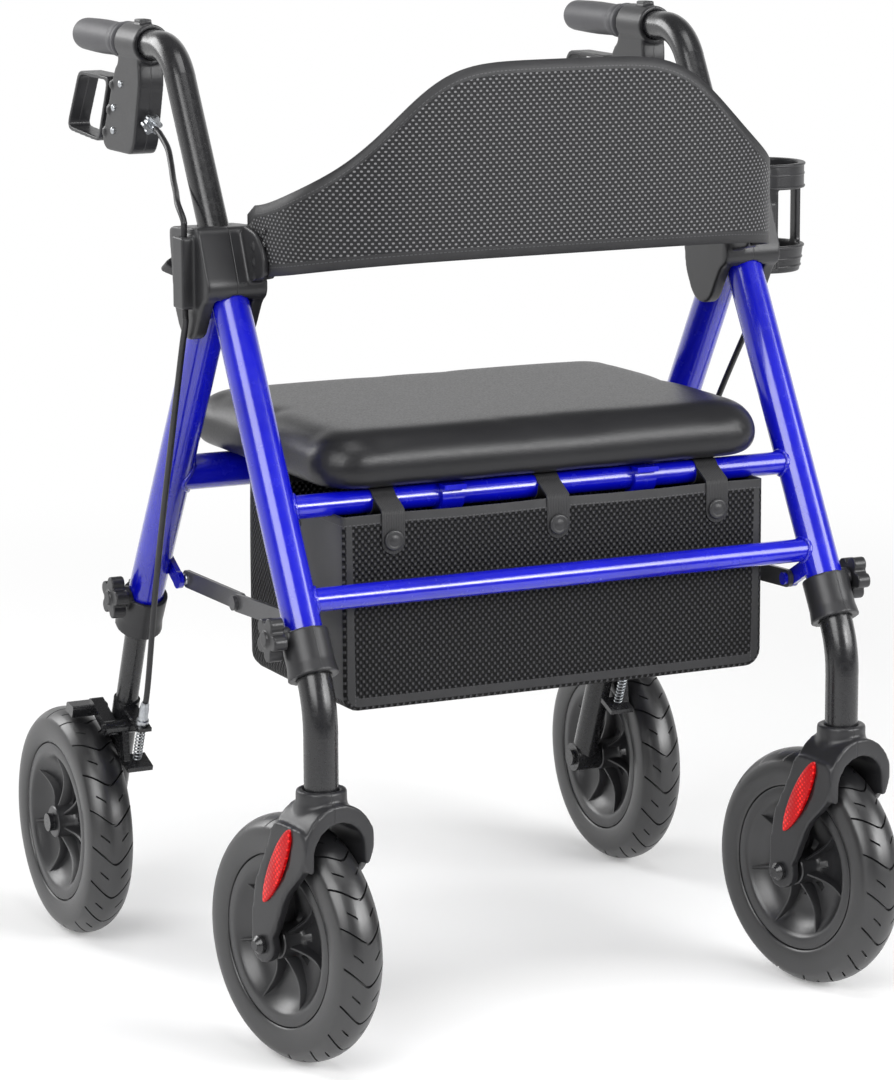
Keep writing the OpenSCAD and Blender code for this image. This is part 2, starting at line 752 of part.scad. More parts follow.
// Brake cable from the adjuster through the housing guide to the ferrule on the stop
module cable(s) color("#2a2a2c") side(s) {
    lead = [0, -sin(adjust_tilt), cos(adjust_tilt)];
    barrel_end = [leg_x, adjust_at[0], adjust_at[1]] + (adjust_l + slide_gap) * lead;
    top = foot_point(stop_s + stop_t + ferrule_l - 8, pull_out);
    rise = [0, -sin(foot_lean), cos(foot_lean)];
    upper = [
        barrel_end, barrel_end + 5 * lead, barrel_end + 10 * lead,
        [leg_x + 2, 50, 803], [leg_x + 7, 30, 790], [leg_x + 14, 8, 778], [leg_x + 23, -20, 769],
        [leg_x + 33, -48, 762],
        [guide_x, guide_y, guide_hi + 14], [guide_x, guide_y, guide_hi + 2],
        [guide_x, guide_y, guide_lo - 2], [guide_x, guide_y, guide_lo - 14]
    ];
    lower = [
        [guide_x - 2, guide_y + 16, guide_lo - 46], [guide_x - 12, guide_y + 70, guide_lo - 140],
        [guide_x - 24, guide_y + 140, guide_lo - 275], top + 30 * rise, top
    ];
    tube_along(route(concat(upper, lower), 5), cable_d, 8, [1, 0, 0]);
    on_foot() translate([0, -pull_out, stop_s + stop_t + slide_gap]) {
        cylinder(d = ferrule_d, h = ferrule_l);
        cylinder(d = ferrule_d + 3, h = 5, $fn = 6);
    }
}

// Handle tube: post in the leg, bend and level grip tube
module handle(s) color(dark_tube) side(s) {
    bend_start = [leg_x, post_corner_y - post_cut * sin(front_lean), grip_z - post_cut * cos(front_lean)];
    glide = 20;
    foot = front_at(post_end_z);
    axis = [0, sin(front_lean), cos(front_lean)];
    difference() {
        union() {
            rod(foot, bend_start + bend_lap * axis, post_d);
            rod(foot, foot + glide * axis, low_d);
            bent_tube([post_corner_y + post_cut, grip_z - post_bend], post_bend, 90, 90 - front_lean, post_d);
            y_rod(post_corner_y + post_cut - bend_lap, grip_y + grip_l - 6, leg_x, grip_z, post_d);
        }
        rod(foot - 10 * axis, bend_start - 4 * axis, post_d - 2 * leg_wall);
    }
}

// Moulded hand grip, swelling to the palm, closed at its end
module grip(s) color(grip_grey) side(s)
    translate([leg_x, grip_y, grip_z])
        rotate([-90, 0, 0])
            difference() {
                rotate_extrude()
                    polygon(concat(
                        [[0, 0], [grip_d / 2 + 2, 0], [grip_d / 2 + 2, 4]],
                        [for (i = [0:10]) [grip_d / 2 - 1 + sin(18 * i) * 1 - (i == 10 ? 0.4 : 0), 5 + (grip_l - 9) * i / 10]],
                        [[grip_d / 2 - 4, grip_l], [0, grip_l]]
                    ));
                translate([0, 0, -1])
                    cylinder(d = post_d + 2 * seat_gap, h = grip_l - 4);
                cylinder(d = 6, h = grip_l + 1);
            }

// Brake bracket: split clamp on the grip tube and a hollow-backed body below it
module bracket(s) color(dark_plastic) side(s) {
    body = [for (p = [
        [-52, -8], [-1, -8], [-1, -20], [8, -26], [44, -97], [35, -106], [-29, -106], [-38, -96], [-55, -36]
    ]) [grip_y, grip_z] + p];
    difference() {
        union() {
            side_plate(leg_x - bracket_w / 2, leg_x + bracket_w / 2) polygon(rounded(body, 8));
            y_rod(clamp_y, clamp_y + clamp_l, leg_x, grip_z, clamp_d);
            translate([leg_x - 6, clamp_y + 14, grip_z])
                cube([12, 16, clamp_d / 2 + 4]);
            for (p = [lever_pivot, lever_pivot + [-9, 25], lever_pivot + [12, -22]])
                x_rod(leg_x - bracket_w / 2 - 2, leg_x + bracket_w / 2 + 2, p, 8);
        }
        y_rod(clamp_y - 1, grip_y + 1, leg_x, grip_z, post_d + 2 * seat_gap);
        side_plate(leg_x - lever_eye_w / 2 - part_gap, leg_x + lever_eye_w / 2 + part_gap) {
            translate(lever_pivot) circle(d = lever_eye_d + 3);
            translate(lever_pivot + [0, -16]) square([40, 32]);
        }
        translate([leg_x, adjust_at[0], adjust_at[1]])
            rotate([adjust_tilt, 0, 0])
                translate([0, 0, -14])
                    cylinder(d = adjust_d + 2 * seat_gap, h = 40);
    }
    x_rod(leg_x - bracket_w / 2, leg_x + bracket_w / 2, lever_pivot, lever_pin_d);
}

lever_eye_w = 8;

// Loop brake lever: a closed strap with an eye between the bracket's cheeks
module lever(s) color(dark_plastic) side(s) {
    loop = [for (p = [[28, -36], [109, -35], [142, -89], [137, -96], [58, -101]]) [grip_y, grip_z] + p];
    hole = [
        loop[0] + [lever_t * 1.6, -lever_t], loop[1] + [-lever_t * 0.6, -lever_t],
        loop[2] + [-lever_t * 1.2, lever_t * 0.2], loop[3] + [-lever_t * 0.6, lever_t],
        loop[4] + [lever_t * 0.7, lever_t]
    ];
    side_plate(leg_x - lever_w / 2, leg_x + lever_w / 2) difference() {
        polygon(rounded(loop, 9));
        polygon(rounded(hole, 8));
    }
    difference() {
        side_plate(leg_x - lever_eye_w / 2, leg_x + lever_eye_w / 2) {
            translate(lever_pivot) circle(d = lever_eye_d);
            polygon([lever_pivot + [0, 8], lever_pivot + [14, 10], lever_pivot + [23, -8], lever_pivot + [0, -8]]);
        }
        x_rod(leg_x - 20, leg_x + 20, lever_pivot, lever_pin_d + 2 * run_gap);
    }
}

// Cable adjuster: threaded barrel with a star nut
module adjuster(s) color(bright_steel) side(s)
    translate([leg_x, adjust_at[0], adjust_at[1]])
        rotate([adjust_tilt, 0, 0]) {
            translate([0, 0, -8])
                cylinder(d = adjust_d, h = adjust_l + 8);
            translate([0, 0, 10]) {
                cylinder(d = 15, h = 6);
                for (i = [0:5])
                    rotate(60 * i)
                        translate([7.5, 0, 0])
                            cylinder(d = 5, h = 6);
            }
        }

// Caster fork: collar, arched crown and two legs to the axle
module on_stem(s) {
    translate([s * leg_x, stem_y, 0]) rotate(caster_turn) children();
}

module fork(s) color(dark_plastic) on_stem(s) {
    crown_r = fork_half;
    leg_profile = [for (p = [
        [-15, 6], [-36, 52], [-64, 79], [-71, 100], [-68, 117], [-20, 120], [-13, 104], [-4, 84], [11, 57], [16, 26], [15, -4]
    ]) [trail, wheel_r] + p];
    difference() {
        union() {
            intersection() {
                y_rod(trail - 71, -trail + 66, 0, crown_top - crown_r, 2 * crown_r);
                translate([-fork_half, -60, tunnel_top - 42])
                    cube([2 * fork_half, 120, 100]);
            }
            for (x = [-fork_half, fork_gap]) {
                side_plate(x, x + fork_t) polygon(rounded(leg_profile, 11));
                x_rod(x, x + fork_t, [trail, wheel_r], 34);
            }
            translate([0, 0, crown_top - 12])
                cylinder(d = fork_collar_d, h = fork_top - crown_top + 12);
            translate([0, 0, crown_top - 12])
                cylinder(d1 = 2 * fork_gap, d2 = fork_collar_d - 4, h = 14);
        }
        y_rod(-70, 90, 0, tunnel_top - fork_gap, 2 * fork_gap);
        translate([-fork_gap, -70, 0])
            cube([2 * fork_gap, 170, tunnel_top - fork_gap]);
        translate([0, 0, fork_floor])
            cylinder(d = low_d + 2 * slide_gap, h = 30);
        translate([0, 0, stem_pin_end - 0.4])
            cylinder(d = stem_pin_d + 2 * run_gap, h = 40);
        x_rod(-60, 60, [trail, wheel_r], axle_d + 2 * seat_gap);
        for (x = [-1, 1])
            reflector_lens(x, seat_gap);
    }
}

// Almond reflector let into the outer face of each fork leg
module reflector_lens(x, room) {
    centre = [trail - 27, wheel_r + 79];
    half_l = 40;
    half_w = 11.5;
    arc_r = (half_l * half_l + half_w * half_w) / (2 * half_w);
    translate([x * (fork_half - 1), centre[0], centre[1]])
        rotate([33, 0, 0])
            rotate([0, 90, 0])
                intersection_for(k = [-1, 1])
                    translate([0, k * (arc_r - half_w), 0])
                        cylinder(r = arc_r + room, h = 4 + 2 * room, center = true, $fn = 160);
}

module reflector(s) color(lens_red) on_stem(s) for (x = [-1, 1]) reflector_lens(x, 0);

module caster_axle(s) color(bright_steel) on_stem(s) {
    cap = fork_half + seat_gap;
    x_rod(-cap, cap, [trail, wheel_r], axle_d);
    for (x = [-1, 1]) {
        translate([x * cap, trail, wheel_r])
            rotate([0, 90 * x, 0]) {
                cylinder(d = 17, h = 4);
                translate([0, 0, 4])
                    cylinder(d1 = 17, d2 = 9, h = 4);
            }
        translate([x > 0 ? hub_w / 2 + slide_gap : -fork_gap + seat_gap, trail, wheel_r])
            rotate([0, 90, 0])
                cylinder(d = 16, h = fork_gap - hub_w / 2 - slide_gap - seat_gap);
    }
}

module rear_axle(s) color(bright_steel) side(s) {
    hub_in = rear_wheel_x - hub_w / 2;
    at = [rear_axle_y, wheel_r];
    head_x = leg_x - boss_half - seat_gap;
    x_rod(head_x - 4, head_x, at, 17);
    x_rod(head_x - 1, rear_wheel_x + hub_w / 2 + 6, at, axle_d);
    x_rod(leg_x + boss_half + seat_gap, hub_in - slide_gap, at, 16);
    x_rod(rear_wheel_x + hub_w / 2 + slide_gap, rear_wheel_x + hub_w / 2 + 6.5, at, 18);
}

// Wheel about the x axis: moulded rim with ribs round U-shaped openings
module on_wheel_front(s) {
    on_stem(s) translate([0, trail, wheel_r]) children();
}

module on_wheel_rear(s) {
    translate([s * rear_wheel_x, rear_axle_y, wheel_r]) children();
}

barrel_d = rim_d - 8;
flange_t = 3;

module rim() color("#6d6d72") rotate([0, 90, 0]) {
    pitch = 360 / spokes;
    lip_r = rim_d / 2 - 9;
    bowl_r = lip_r - 10;
    apex = [spoke_t / 2 / sin(pitch / 2), 0];
    half = pitch / 2 - asin(spoke_t / 2 / (bowl_r - 2));
    arc = [for (i = [0:6]) let (a = half * (i / 3 - 1)) (bowl_r - 2) * [cos(a), sin(a)]];
    pocket = concat(corner_curve(arc[6], apex, arc[0], pocket_round, 6), arc);
    difference() {
        union() {
            rotate_extrude()
                polygon([
                    [bowl_r - 1, -rib_h / 2], [lip_r, -rim_w / 2], [rim_d / 2, -rim_w / 2],
                    [rim_d / 2, flange_t - rim_w / 2], [barrel_d / 2, flange_t - rim_w / 2],
                    [barrel_d / 2, rim_w / 2 - flange_t], [rim_d / 2, rim_w / 2 - flange_t],
                    [rim_d / 2, rim_w / 2], [lip_r, rim_w / 2], [bowl_r - 1, rib_h / 2]
                ]);
            difference() {
                cylinder(r = bowl_r, h = rib_h, center = true);
                for (i = [0:spokes - 1])
                    rotate(90 + pitch * i) {
                        for (k = [-1, 1])
                            translate([0, 0, k * (rib_h + web_t) / 2])
                                linear_extrude(rib_h, center = true)
                                    polygon(pocket);
                        translate([hub_d / 2 + window_d / 2 + 3, 0, 0])
                            cylinder(d = window_d, h = rib_h, center = true);
                    }
            }
            cylinder(d = hub_d, h = hub_w, center = true);
        }
        cylinder(d = axle_d + 2 * run_gap, h = 2 * hub_w, center = true);
    }
}

// Solid tyre seated between the rim flanges
module tyre() color(tyre_grey) rotate([0, 90, 0]) {
    flank = [
        [rim_d / 2 + 0.3, tyre_w / 2 - 2.6], [rim_d / 2 + 8, tyre_w / 2 - 0.5], [wheel_r - 20, tyre_w / 2],
        [wheel_r - 12, tyre_w / 2 - 1.4], [wheel_r - 6, tyre_w / 2 - 4.5]
    ];
    crown = [for (k = [-4:4]) [wheel_r - 4.6 * pow(k / 5, 2), -k / 5 * (tyre_w / 2 - 4)]];
    inside = rim_w / 2 - flange_t - seat_gap;
    groove_w = 4.2;
    groove_l = tyre_w / 2 + 2;
    groove_turn = 38;
    difference() {
        rotate_extrude()
            polygon(concat(
                [[barrel_d / 2 + seat_gap, inside], [rim_d / 2 + 0.3, inside]],
                flank, crown,
                [for (i = [4:-1:0]) [flank[i][0], -flank[i][1]]],
                [[rim_d / 2 + 0.3, -inside], [barrel_d / 2 + seat_gap, -inside]]
            ));
        for (i = [0:tread_n - 1]) rotate(360 * i / tread_n)
            for (k = [-1, 1])
                translate([wheel_r - tread_depth, 0, k])
                    rotate([-k * groove_turn, 0, 0])
                        translate([0, -groove_w / 2, k > 0 ? 0 : -groove_l])
                            cube([20, groove_w, groove_l]);
    }
}

module front_rim(s) on_wheel_front(s) rim();
module rear_rim(s) on_wheel_rear(s) rim();
module front_tyre(s) on_wheel_front(s) tyre();
module rear_tyre(s) on_wheel_rear(s) tyre();

// Folding side struts: flat bars hinged on the legs, meeting at a middle bolt
module strut_front(s) color("#77777c") side(s) {
    x1 = strut_x - part_gap;
    difference() {
        side_plate(x1 - strut_t, x1) link_2d(strut_f, strut_m, strut_w);
        x_rod(x1 - 10, x1 + 10, strut_f, strut_pin_d + 2 * run_gap);
    }
    x_rod(x1 - strut_t, x1 + 4, strut_m, 14);
}

module strut_rear(s) color("#77777c") side(s) {
    x1 = strut_x - 2 * part_gap - strut_t;
    difference() {
        side_plate(x1 - strut_t, x1) link_2d(strut_r, strut_m, strut_w);
        x_rod(x1 - 10, x1 + 10, strut_r, strut_pin_d + 2 * run_gap);
    }
}

// Seat board: a flat tray floor, notched where the bag's straps pass
seat_inset = 15;

module seat_board() color(dark_plastic) {
    half = seat_w / 2 - seat_inset;
    outline = [
        [-half, seat_front + seat_inset], [half, seat_front + seat_inset],
        [half, seat_back - seat_inset], [-half, seat_back - seat_inset]
    ];
    difference() {
        translate([0, 0, seat_z])
            linear_extrude(board_t)
                polygon(rounded(outline, 40));
        for (x = [-strap_x, 0, strap_x])
            translate([x - strap_w / 2 - 2, front_y(bar_z) - bar_d, seat_z - 10])
                cube([strap_w + 4, 2 * bar_d, board_t + 20]);
        for (x = [-strap_x, strap_x])
            translate([x - strap_w / 2 - 2, rear_y(rear_bar_z) - rear_bar_d, seat_z - 10])
                cube([strap_w + 4, 2 * rear_bar_d, board_t + 20]);
    }
}

// Two saddle clips under the board, which turn on the upper front crossbar
clip_x = 100;
clip_w = 22;
clip_l = 40;
clip_t = 5;
clip_wall = 4.5;

module seat_clips() color(dark_plastic) {
    at = [front_y(bar_z), bar_z];
    for (s = [-1, 1])
        difference() {
            union() {
                x_rod(s * clip_x - clip_w / 2, s * clip_x + clip_w / 2, at, bar_d + 2 * clip_wall);
                translate([s * clip_x - clip_w / 2, at[0] - clip_l / 2, seat_z - clip_t])
                    cube([clip_w, clip_l, clip_t]);
            }
            x_rod(-seat_w, seat_w, at, bar_d + 2 * run_gap);
            translate([-seat_w, at[0] - bar_d / 3, bar_z])
                cube([2 * seat_w, bar_d * 2 / 3, bar_d]);
            translate([-seat_w, at[0] - bar_d, seat_z])
                cube([2 * seat_w, 2 * bar_d, bar_d]);
        }
}

// Seat pad: crowned top and drawn-in sides, squarish in plan
function squarish(p) = sign(p) * pow(abs(p), 0.36);

module seat_cushion() color(pad_black) {
    n = 40;
    base = seat_z + board_t + seat_gap;
    mid_y = (seat_front + seat_back) / 2;
    half_y = (seat_back - seat_front) / 2;
    rings = [
        [0, 18], [0.05, 7], [0.2, 1.5], [0.42, 0], [0.62, 1.5], [0.78, 7], [0.88, 18], [0.94, 45], [0.98, 85], [1, 130]
    ];
    points = concat(
        [for (r = rings) for (k = [0:n - 1]) let (a = 360 * k / n) [
            (seat_w / 2 - r[1]) * squarish(cos(a)), mid_y + (half_y - r[1]) * squarish(sin(a)), base + pad_t * r[0]
        ]],
        [[0, mid_y, base], [0, mid_y, base + pad_t]]
    );
    top = n * (len(rings) - 1);
    low_hub = n * len(rings);
    walls = [
        for (i = [0:len(rings) - 2]) for (k = [0:n - 1])
            let (a = i * n + k, b = i * n + (k + 1) % n)
            each [[a, b + n, b], [a, a + n, b + n]]
    ];
    ends = [for (k = [0:n - 1]) each [[low_hub, k, (k + 1) % n], [low_hub + 1, top + (k + 1) % n, top + k]]];
    polyhedron(points = points, faces = concat(walls, ends));
}

// Cloth bag with an open top, hung by straps from both seat bars
bag_front = front_y(low_bar_z) + bar_d / 2 + 3.4;

module bag_shell(inset, over) {
    half = bag_w / 2 - inset;
    low = bag_base + inset;
    high = bag_rim + over;
    across = [[-half, high], [-half, low], [half, low], [half, high]];
    along = [[bag_front + inset, high], [bag_front + inset, low], [bag_back - inset, low], [bag_back - inset, high]];
    intersection() {
        translate([0, bag_back + 50, 0])
            rotate([90, 0, 0])
                linear_extrude(bag_back - bag_front + 100)
                    polygon(concat(
                        [across[0]], corner_curve(across[0], across[1], across[2], 34, 5),
                        corner_curve(across[1], across[2], across[3], 34, 5), [across[3]]
                    ));
        side_plate(-bag_w, bag_w)
            polygon(concat(
                [along[0]], corner_curve(along[0], along[1], along[2], 14, 4),
                corner_curve(along[1], along[2], along[3], 60, 6), [along[3]]
            ));
    }
}

module bag() color(cloth_black) {
    difference() {
        bag_shell(0, 0);
        bag_shell(cloth_t, 20);
    }
    front = bag_front;
    bar_y = front_y(bar_z);
    for (x = [-strap_x, 0, strap_x]) translate([x, 0, 0]) {
        side_plate(-strap_w / 2, strap_w / 2) {
            polygon([
                [front - cloth_t, bag_rim - 38], [front, bag_rim - 38], [front, bag_rim],
                [bar_y - bar_d / 2 - 0.4, bar_z + 4], [bar_y - bar_d / 2 - 0.4, bar_z + 7],
                [front - cloth_t, bag_rim + 2]
            ]);
            translate([bar_y, bar_z]) difference() {
                circle(d = bar_d + 2 * seat_gap + 3.6);
                circle(d = bar_d + 2 * seat_gap);
            }
        }
        y_rod(front - cloth_t - 2, front - cloth_t + 1, 0, bag_rim - 22, 12);
    }
    for (x = [-strap_x, strap_x]) translate([x, 0, 0])
        side_plate(-strap_w / 2, strap_w / 2) {
            polygon([
                [bag_back, bag_rim - 12], [bag_back, bag_rim - 1],
                [rear_y(rear_bar_z) - rear_bar_d / 2 - 0.4, rear_bar_z + 2],
                [rear_y(rear_bar_z) - rear_bar_d / 2 - 0.4, rear_bar_z - 1]
            ]);
            translate([rear_y(rear_bar_z), rear_bar_z]) difference() {
                circle(d = rear_bar_d + 2 * slide_gap + 3.6);
                circle(d = rear_bar_d + 2 * slide_gap);
            }
        }
}

// Cup holder: ring over a base cup, carried on the right housing by one arm
module cup_holder() color(dark_plastic) {
    wall_x = leg_x + house_w / 2 + seat_gap;
    centre = [wall_x + 2 + cup_d / 2, cross_y + 76];
    top = cup_z + cup_h;
    bore = cup_d - 2 * cup_wall;
    difference() {
        union() {
            translate([centre[0], centre[1], top - cup_ring_h])
                cylinder(d = cup_d, h = cup_ring_h);
            translate([centre[0], centre[1], cup_z])
                cylinder(d1 = cup_d - 8, d2 = cup_d, h = cup_base_h);
            for (a = [0, 100, 255])
                translate([centre[0], centre[1], cup_z + 4])
                    rotate(a)
                        translate([bore / 2, -6, 0])
                            cube([cup_wall, 12, cup_h - 8]);
            translate([wall_x, cross_y + 33, cup_z + 12])
                cube([28, 10, cup_h - 18]);
        }
        translate([centre[0], centre[1], cup_z + 4])
            cylinder(d = bore, h = cup_h);
        for (i = [0:5])
            translate([centre[0], centre[1], cup_z - 1])
                rotate(60 * i)
                    translate([bore / 4, 0, 0])
                        cylinder(d = 9, h = 10);
    }
}

front_frame();
housing(-1);  // housing_l
housing(1);  // housing_r
backrest();
front_collar(-1);  // collar_fl
front_collar(1);  // collar_fr
cup_holder();
bag();
rear_frame();
rear_collar(-1);  // collar_rl
rear_collar(1);  // collar_rr
seat_board();
seat_clips();
seat_cushion();
handle(-1);  // handle_l
handle(1);  // handle_r
grip(-1);  // grip_l
grip(1);  // grip_r
bracket(-1);  // bracket_l
bracket(1);  // bracket_r
adjuster(-1);  // adjuster_l
adjuster(1);  // adjuster_r
lever(-1);  // lever_l
lever(1);  // lever_r
front_knob(-1);  // knob_fl
front_knob(1);  // knob_fr
rear_knob(-1);  // knob_rl
rear_knob(1);  // knob_rr
post_knob(-1);  // knob_hl
post_knob(1);  // knob_hr
front_low(-1);  // leg_fl
front_low(1);  // leg_fr
rear_low(-1);  // leg_rl
rear_low(1);  // leg_rr
fork(-1);  // fork_fl
fork(1);  // fork_fr
reflector(-1);  // reflector_fl
reflector(1);  // reflector_fr
caster_axle(-1);  // axle_fl
caster_axle(1);  // axle_fr
front_rim(-1);  // rim_fl
front_rim(1);  // rim_fr
rear_rim(-1);  // rim_rl
rear_rim(1);  // rim_rr
front_tyre(-1);  // tyre_fl
front_tyre(1);  // tyre_fr
rear_tyre(-1);  // tyre_rl
rear_tyre(1);  // tyre_rr
rear_axle(-1);  // axle_rl
rear_axle(1);  // axle_rr
shoe(-1);  // shoe_l
shoe(1);  // shoe_r
spring(-1);  // spring_l
spring(1);  // spring_r
strut_front(-1);  // strut_fl
strut_front(1);  // strut_fr
strut_rear(-1);  // strut_rl
strut_rear(1);  // strut_rr
cable(-1);  // cable_l
cable(1);  // cable_r
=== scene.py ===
import json
import math

import bmesh
import bpy
from mathutils import Matrix, Vector


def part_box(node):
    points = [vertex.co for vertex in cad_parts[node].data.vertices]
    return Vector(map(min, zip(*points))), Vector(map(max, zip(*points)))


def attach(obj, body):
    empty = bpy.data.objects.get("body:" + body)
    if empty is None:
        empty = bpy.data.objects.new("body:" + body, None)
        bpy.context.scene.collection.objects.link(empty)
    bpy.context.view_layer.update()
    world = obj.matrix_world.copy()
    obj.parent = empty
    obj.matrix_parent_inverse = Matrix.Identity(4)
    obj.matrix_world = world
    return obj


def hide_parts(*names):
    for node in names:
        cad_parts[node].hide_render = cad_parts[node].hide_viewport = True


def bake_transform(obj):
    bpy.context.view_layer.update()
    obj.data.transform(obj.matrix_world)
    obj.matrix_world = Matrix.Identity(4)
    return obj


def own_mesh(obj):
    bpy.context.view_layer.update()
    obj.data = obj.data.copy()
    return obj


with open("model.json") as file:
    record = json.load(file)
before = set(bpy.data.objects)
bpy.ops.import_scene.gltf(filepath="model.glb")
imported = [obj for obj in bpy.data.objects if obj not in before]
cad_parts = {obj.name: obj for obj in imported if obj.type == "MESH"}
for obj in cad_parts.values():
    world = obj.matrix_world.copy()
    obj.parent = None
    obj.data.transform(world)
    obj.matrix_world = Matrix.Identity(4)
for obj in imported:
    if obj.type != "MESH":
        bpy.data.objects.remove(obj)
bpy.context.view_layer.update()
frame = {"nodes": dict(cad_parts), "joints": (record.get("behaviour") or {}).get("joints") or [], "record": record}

# Viewpoint
# A long-lens product shot from the front left, a little above seat height.
scene = bpy.context.scene
scene.view_settings.view_transform = "Standard"
camera = bpy.data.objects.new("camera", bpy.data.cameras.new("camera"))
camera.data.lens = 137.7
camera.data.sensor_width = 36.0
camera.data.clip_end = 200.0
camera.location = (-1.7315, -3.5376, 1.1844)
camera.rotation_euler = [math.radians(a) for a in (78.93, 0.24, -26.03)]
scene.collection.objects.link(camera)
scene.camera = camera


# Studio
# A white sweep in a dim room, with soft lamps at each side, in front, overhead and behind.
# The floor is matt white, keeps the object's shadow and runs into a backdrop that is white wherever the eye
# looks. In reflections the room in front of the object is dim.
def linear(hex_colour):
    """A colour written as sRGB hex, as linear red, green, blue and alpha."""
    parts = [int(hex_colour[i:i + 2], 16) / 255 for i in (1, 3, 5)]
    return [c / 12.92 if c <= 0.04045 else ((c + 0.055) / 1.055) ** 2.4 for c in parts] + [1.0]


def add(tree, kind, settings, inputs):
    """One node with its settings, and its inputs set to values or linked to other sockets."""
    made = tree.nodes.new(kind)
    for name, value in settings.items():
        setattr(made, name, value)
    for name, value in inputs.items():
        if isinstance(value, bpy.types.NodeSocket):
            tree.links.new(value, made.inputs[name])
        else:
            made.inputs[name].default_value = value
    return made


def maths(tree, operation, first, second=0.5):
    """The result of one sum on sockets or values; a sum on one value leaves the second aside."""
    return add(tree, "ShaderNodeMath", {"operation": operation}, {0: first, 1: second}).outputs[0]


def seen_rays(tree):
    """1 where the eye, a reflection or a clear body looks, 0 where light only bounces."""
    path = add(tree, "ShaderNodeLightPath", {}, {})
    gloss = maths(tree, "MAXIMUM", path.outputs["Is Camera Ray"], path.outputs["Is Glossy Ray"])
    return maths(tree, "MAXIMUM", gloss, path.outputs["Is Transmission Ray"])


dome_light = 0.26
scene.world = bpy.data.worlds.new("pale_dome")
scene.world.use_nodes = True
sky = scene.world.node_tree
sky.nodes.clear()
dim = add(sky, "ShaderNodeBackground", {}, {"Color": (1, 1, 1, 1), "Strength": dome_light})
heading = add(sky, "ShaderNodeTexCoord", {}, {})
way = add(sky, "ShaderNodeSeparateXYZ", {}, {"Vector": heading.outputs["Generated"]})
behind = add(sky, "ShaderNodeMapRange", {"interpolation_type": "SMOOTHSTEP"},
             {"Value": way.outputs["Y"], "From Min": -0.1, "From Max": 0.5})
below = add(sky, "ShaderNodeMapRange", {"interpolation_type": "SMOOTHSTEP"},
            {"Value": way.outputs["Z"], "From Min": 0.3, "From Max": 0.75, "To Min": 1.0, "To Max": 0.0})
sheet = maths(sky, "MULTIPLY", behind.outputs["Result"], below.outputs["Result"])
level = add(sky, "ShaderNodeMapRange", {}, {"Value": sheet, "To Min": 0.2, "To Max": 1.0})
eye = add(sky, "ShaderNodeLightPath", {}, {})
bright = maths(sky, "MAXIMUM", level.outputs["Result"], eye.outputs["Is Camera Ray"])
white = add(sky, "ShaderNodeBackground", {}, {"Color": (1, 1, 1, 1), "Strength": bright})
both = add(sky, "ShaderNodeMixShader", {}, {0: seen_rays(sky), 1: dim.outputs[0], 2: white.outputs[0]})
add(sky, "ShaderNodeOutputWorld", {}, {"Surface": both.outputs[0]})

floor_material = bpy.data.materials.new("matt_white_sweep")
floor_material.use_nodes = True
sweep = floor_material.node_tree
sweep.nodes.clear()
matt = add(sweep, "ShaderNodeBsdfDiffuse", {}, {"Color": linear("#e6e6e6")})
lift = add(sweep, "ShaderNodeEmission", {}, {"Color": (1, 1, 1, 1), "Strength": 0.22})
lifted = add(sweep, "ShaderNodeAddShader", {}, {0: matt.outputs[0], 1: lift.outputs[0]})
spot = add(sweep, "ShaderNodeTexCoord", {}, {})
away = add(sweep, "ShaderNodeVectorMath", {"operation": "LENGTH"}, {0: spot.outputs["Object"]})
fade = add(sweep, "ShaderNodeMapRange", {"interpolation_type": "SMOOTHSTEP"},
           {"Value": away.outputs["Value"], "From Min": 0.9, "From Max": 2.6})
backdrop = add(sweep, "ShaderNodeEmission", {}, {"Color": (1, 1, 1, 1), "Strength": 1.0})
faded = add(sweep, "ShaderNodeMixShader", {},
            {0: fade.outputs["Result"], 1: lifted.outputs[0], 2: backdrop.outputs[0]})
ground = add(sweep, "ShaderNodeSeparateXYZ", {}, {"Vector": spot.outputs["Object"]})
before = add(sweep, "ShaderNodeMapRange", {"interpolation_type": "SMOOTHSTEP"},
             {"Value": ground.outputs["Y"], "From Min": -1.5, "From Max": -2.0})
eye = add(sweep, "ShaderNodeLightPath", {}, {})
mirrored = add(sweep, "ShaderNodeMath", {"operation": "SUBTRACT", "use_clamp": True},
               {0: before.outputs["Result"], 1: eye.outputs["Is Camera Ray"]})
studio = add(sweep, "ShaderNodeBsdfDiffuse", {}, {"Color": linear("#3a3a3a")})
ended = add(sweep, "ShaderNodeMixShader", {},
            {0: mirrored.outputs[0], 1: faded.outputs[0], 2: studio.outputs[0]})
shown = add(sweep, "ShaderNodeMixShader", {},
            {0: seen_rays(sweep), 1: matt.outputs[0], 2: ended.outputs[0]})
add(sweep, "ShaderNodeOutputMaterial", {}, {"Surface": shown.outputs[0]})

floor_mesh = bpy.data.meshes.new("floor")
form = bmesh.new()
bmesh.ops.create_grid(form, x_segments=1, y_segments=1, size=60.0)
bmesh.ops.translate(form, verts=form.verts, vec=(0, 0, -0.0006))
form.to_mesh(floor_mesh)
form.free()
floor = bpy.data.objects.new("floor", floor_mesh)
floor_mesh.materials.append(floor_material)
scene.collection.objects.link(floor)

lamp_aim = Vector((0, 0, 0.5))
for name, place, size, power in (
    ("left_lamp", (-2.9, -2.2, 2.4), 2.6, 112.0),
    ("right_lamp", (2.6, -2.6, 1.9), 2.0, 80.0),
    ("front_lamp", (1.4, -3.7, 1.9), 1.2, 66.0),
    ("top_lamp", (0.0, -0.9, 3.4), 1.6, 28.0),
    ("back_lamp", (-1.8, 2.6, 2.1), 1.6, 48.0),
):
    lamp = bpy.data.lights.new(name, "AREA")
    lamp.size = size
    lamp.energy = power
    holder = bpy.data.objects.new(name, lamp)
    holder.location = place
    holder.rotation_euler = (lamp_aim - Vector(place)).to_track_quat("-Z", "Y").to_euler()
    scene.collection.objects.link(holder)

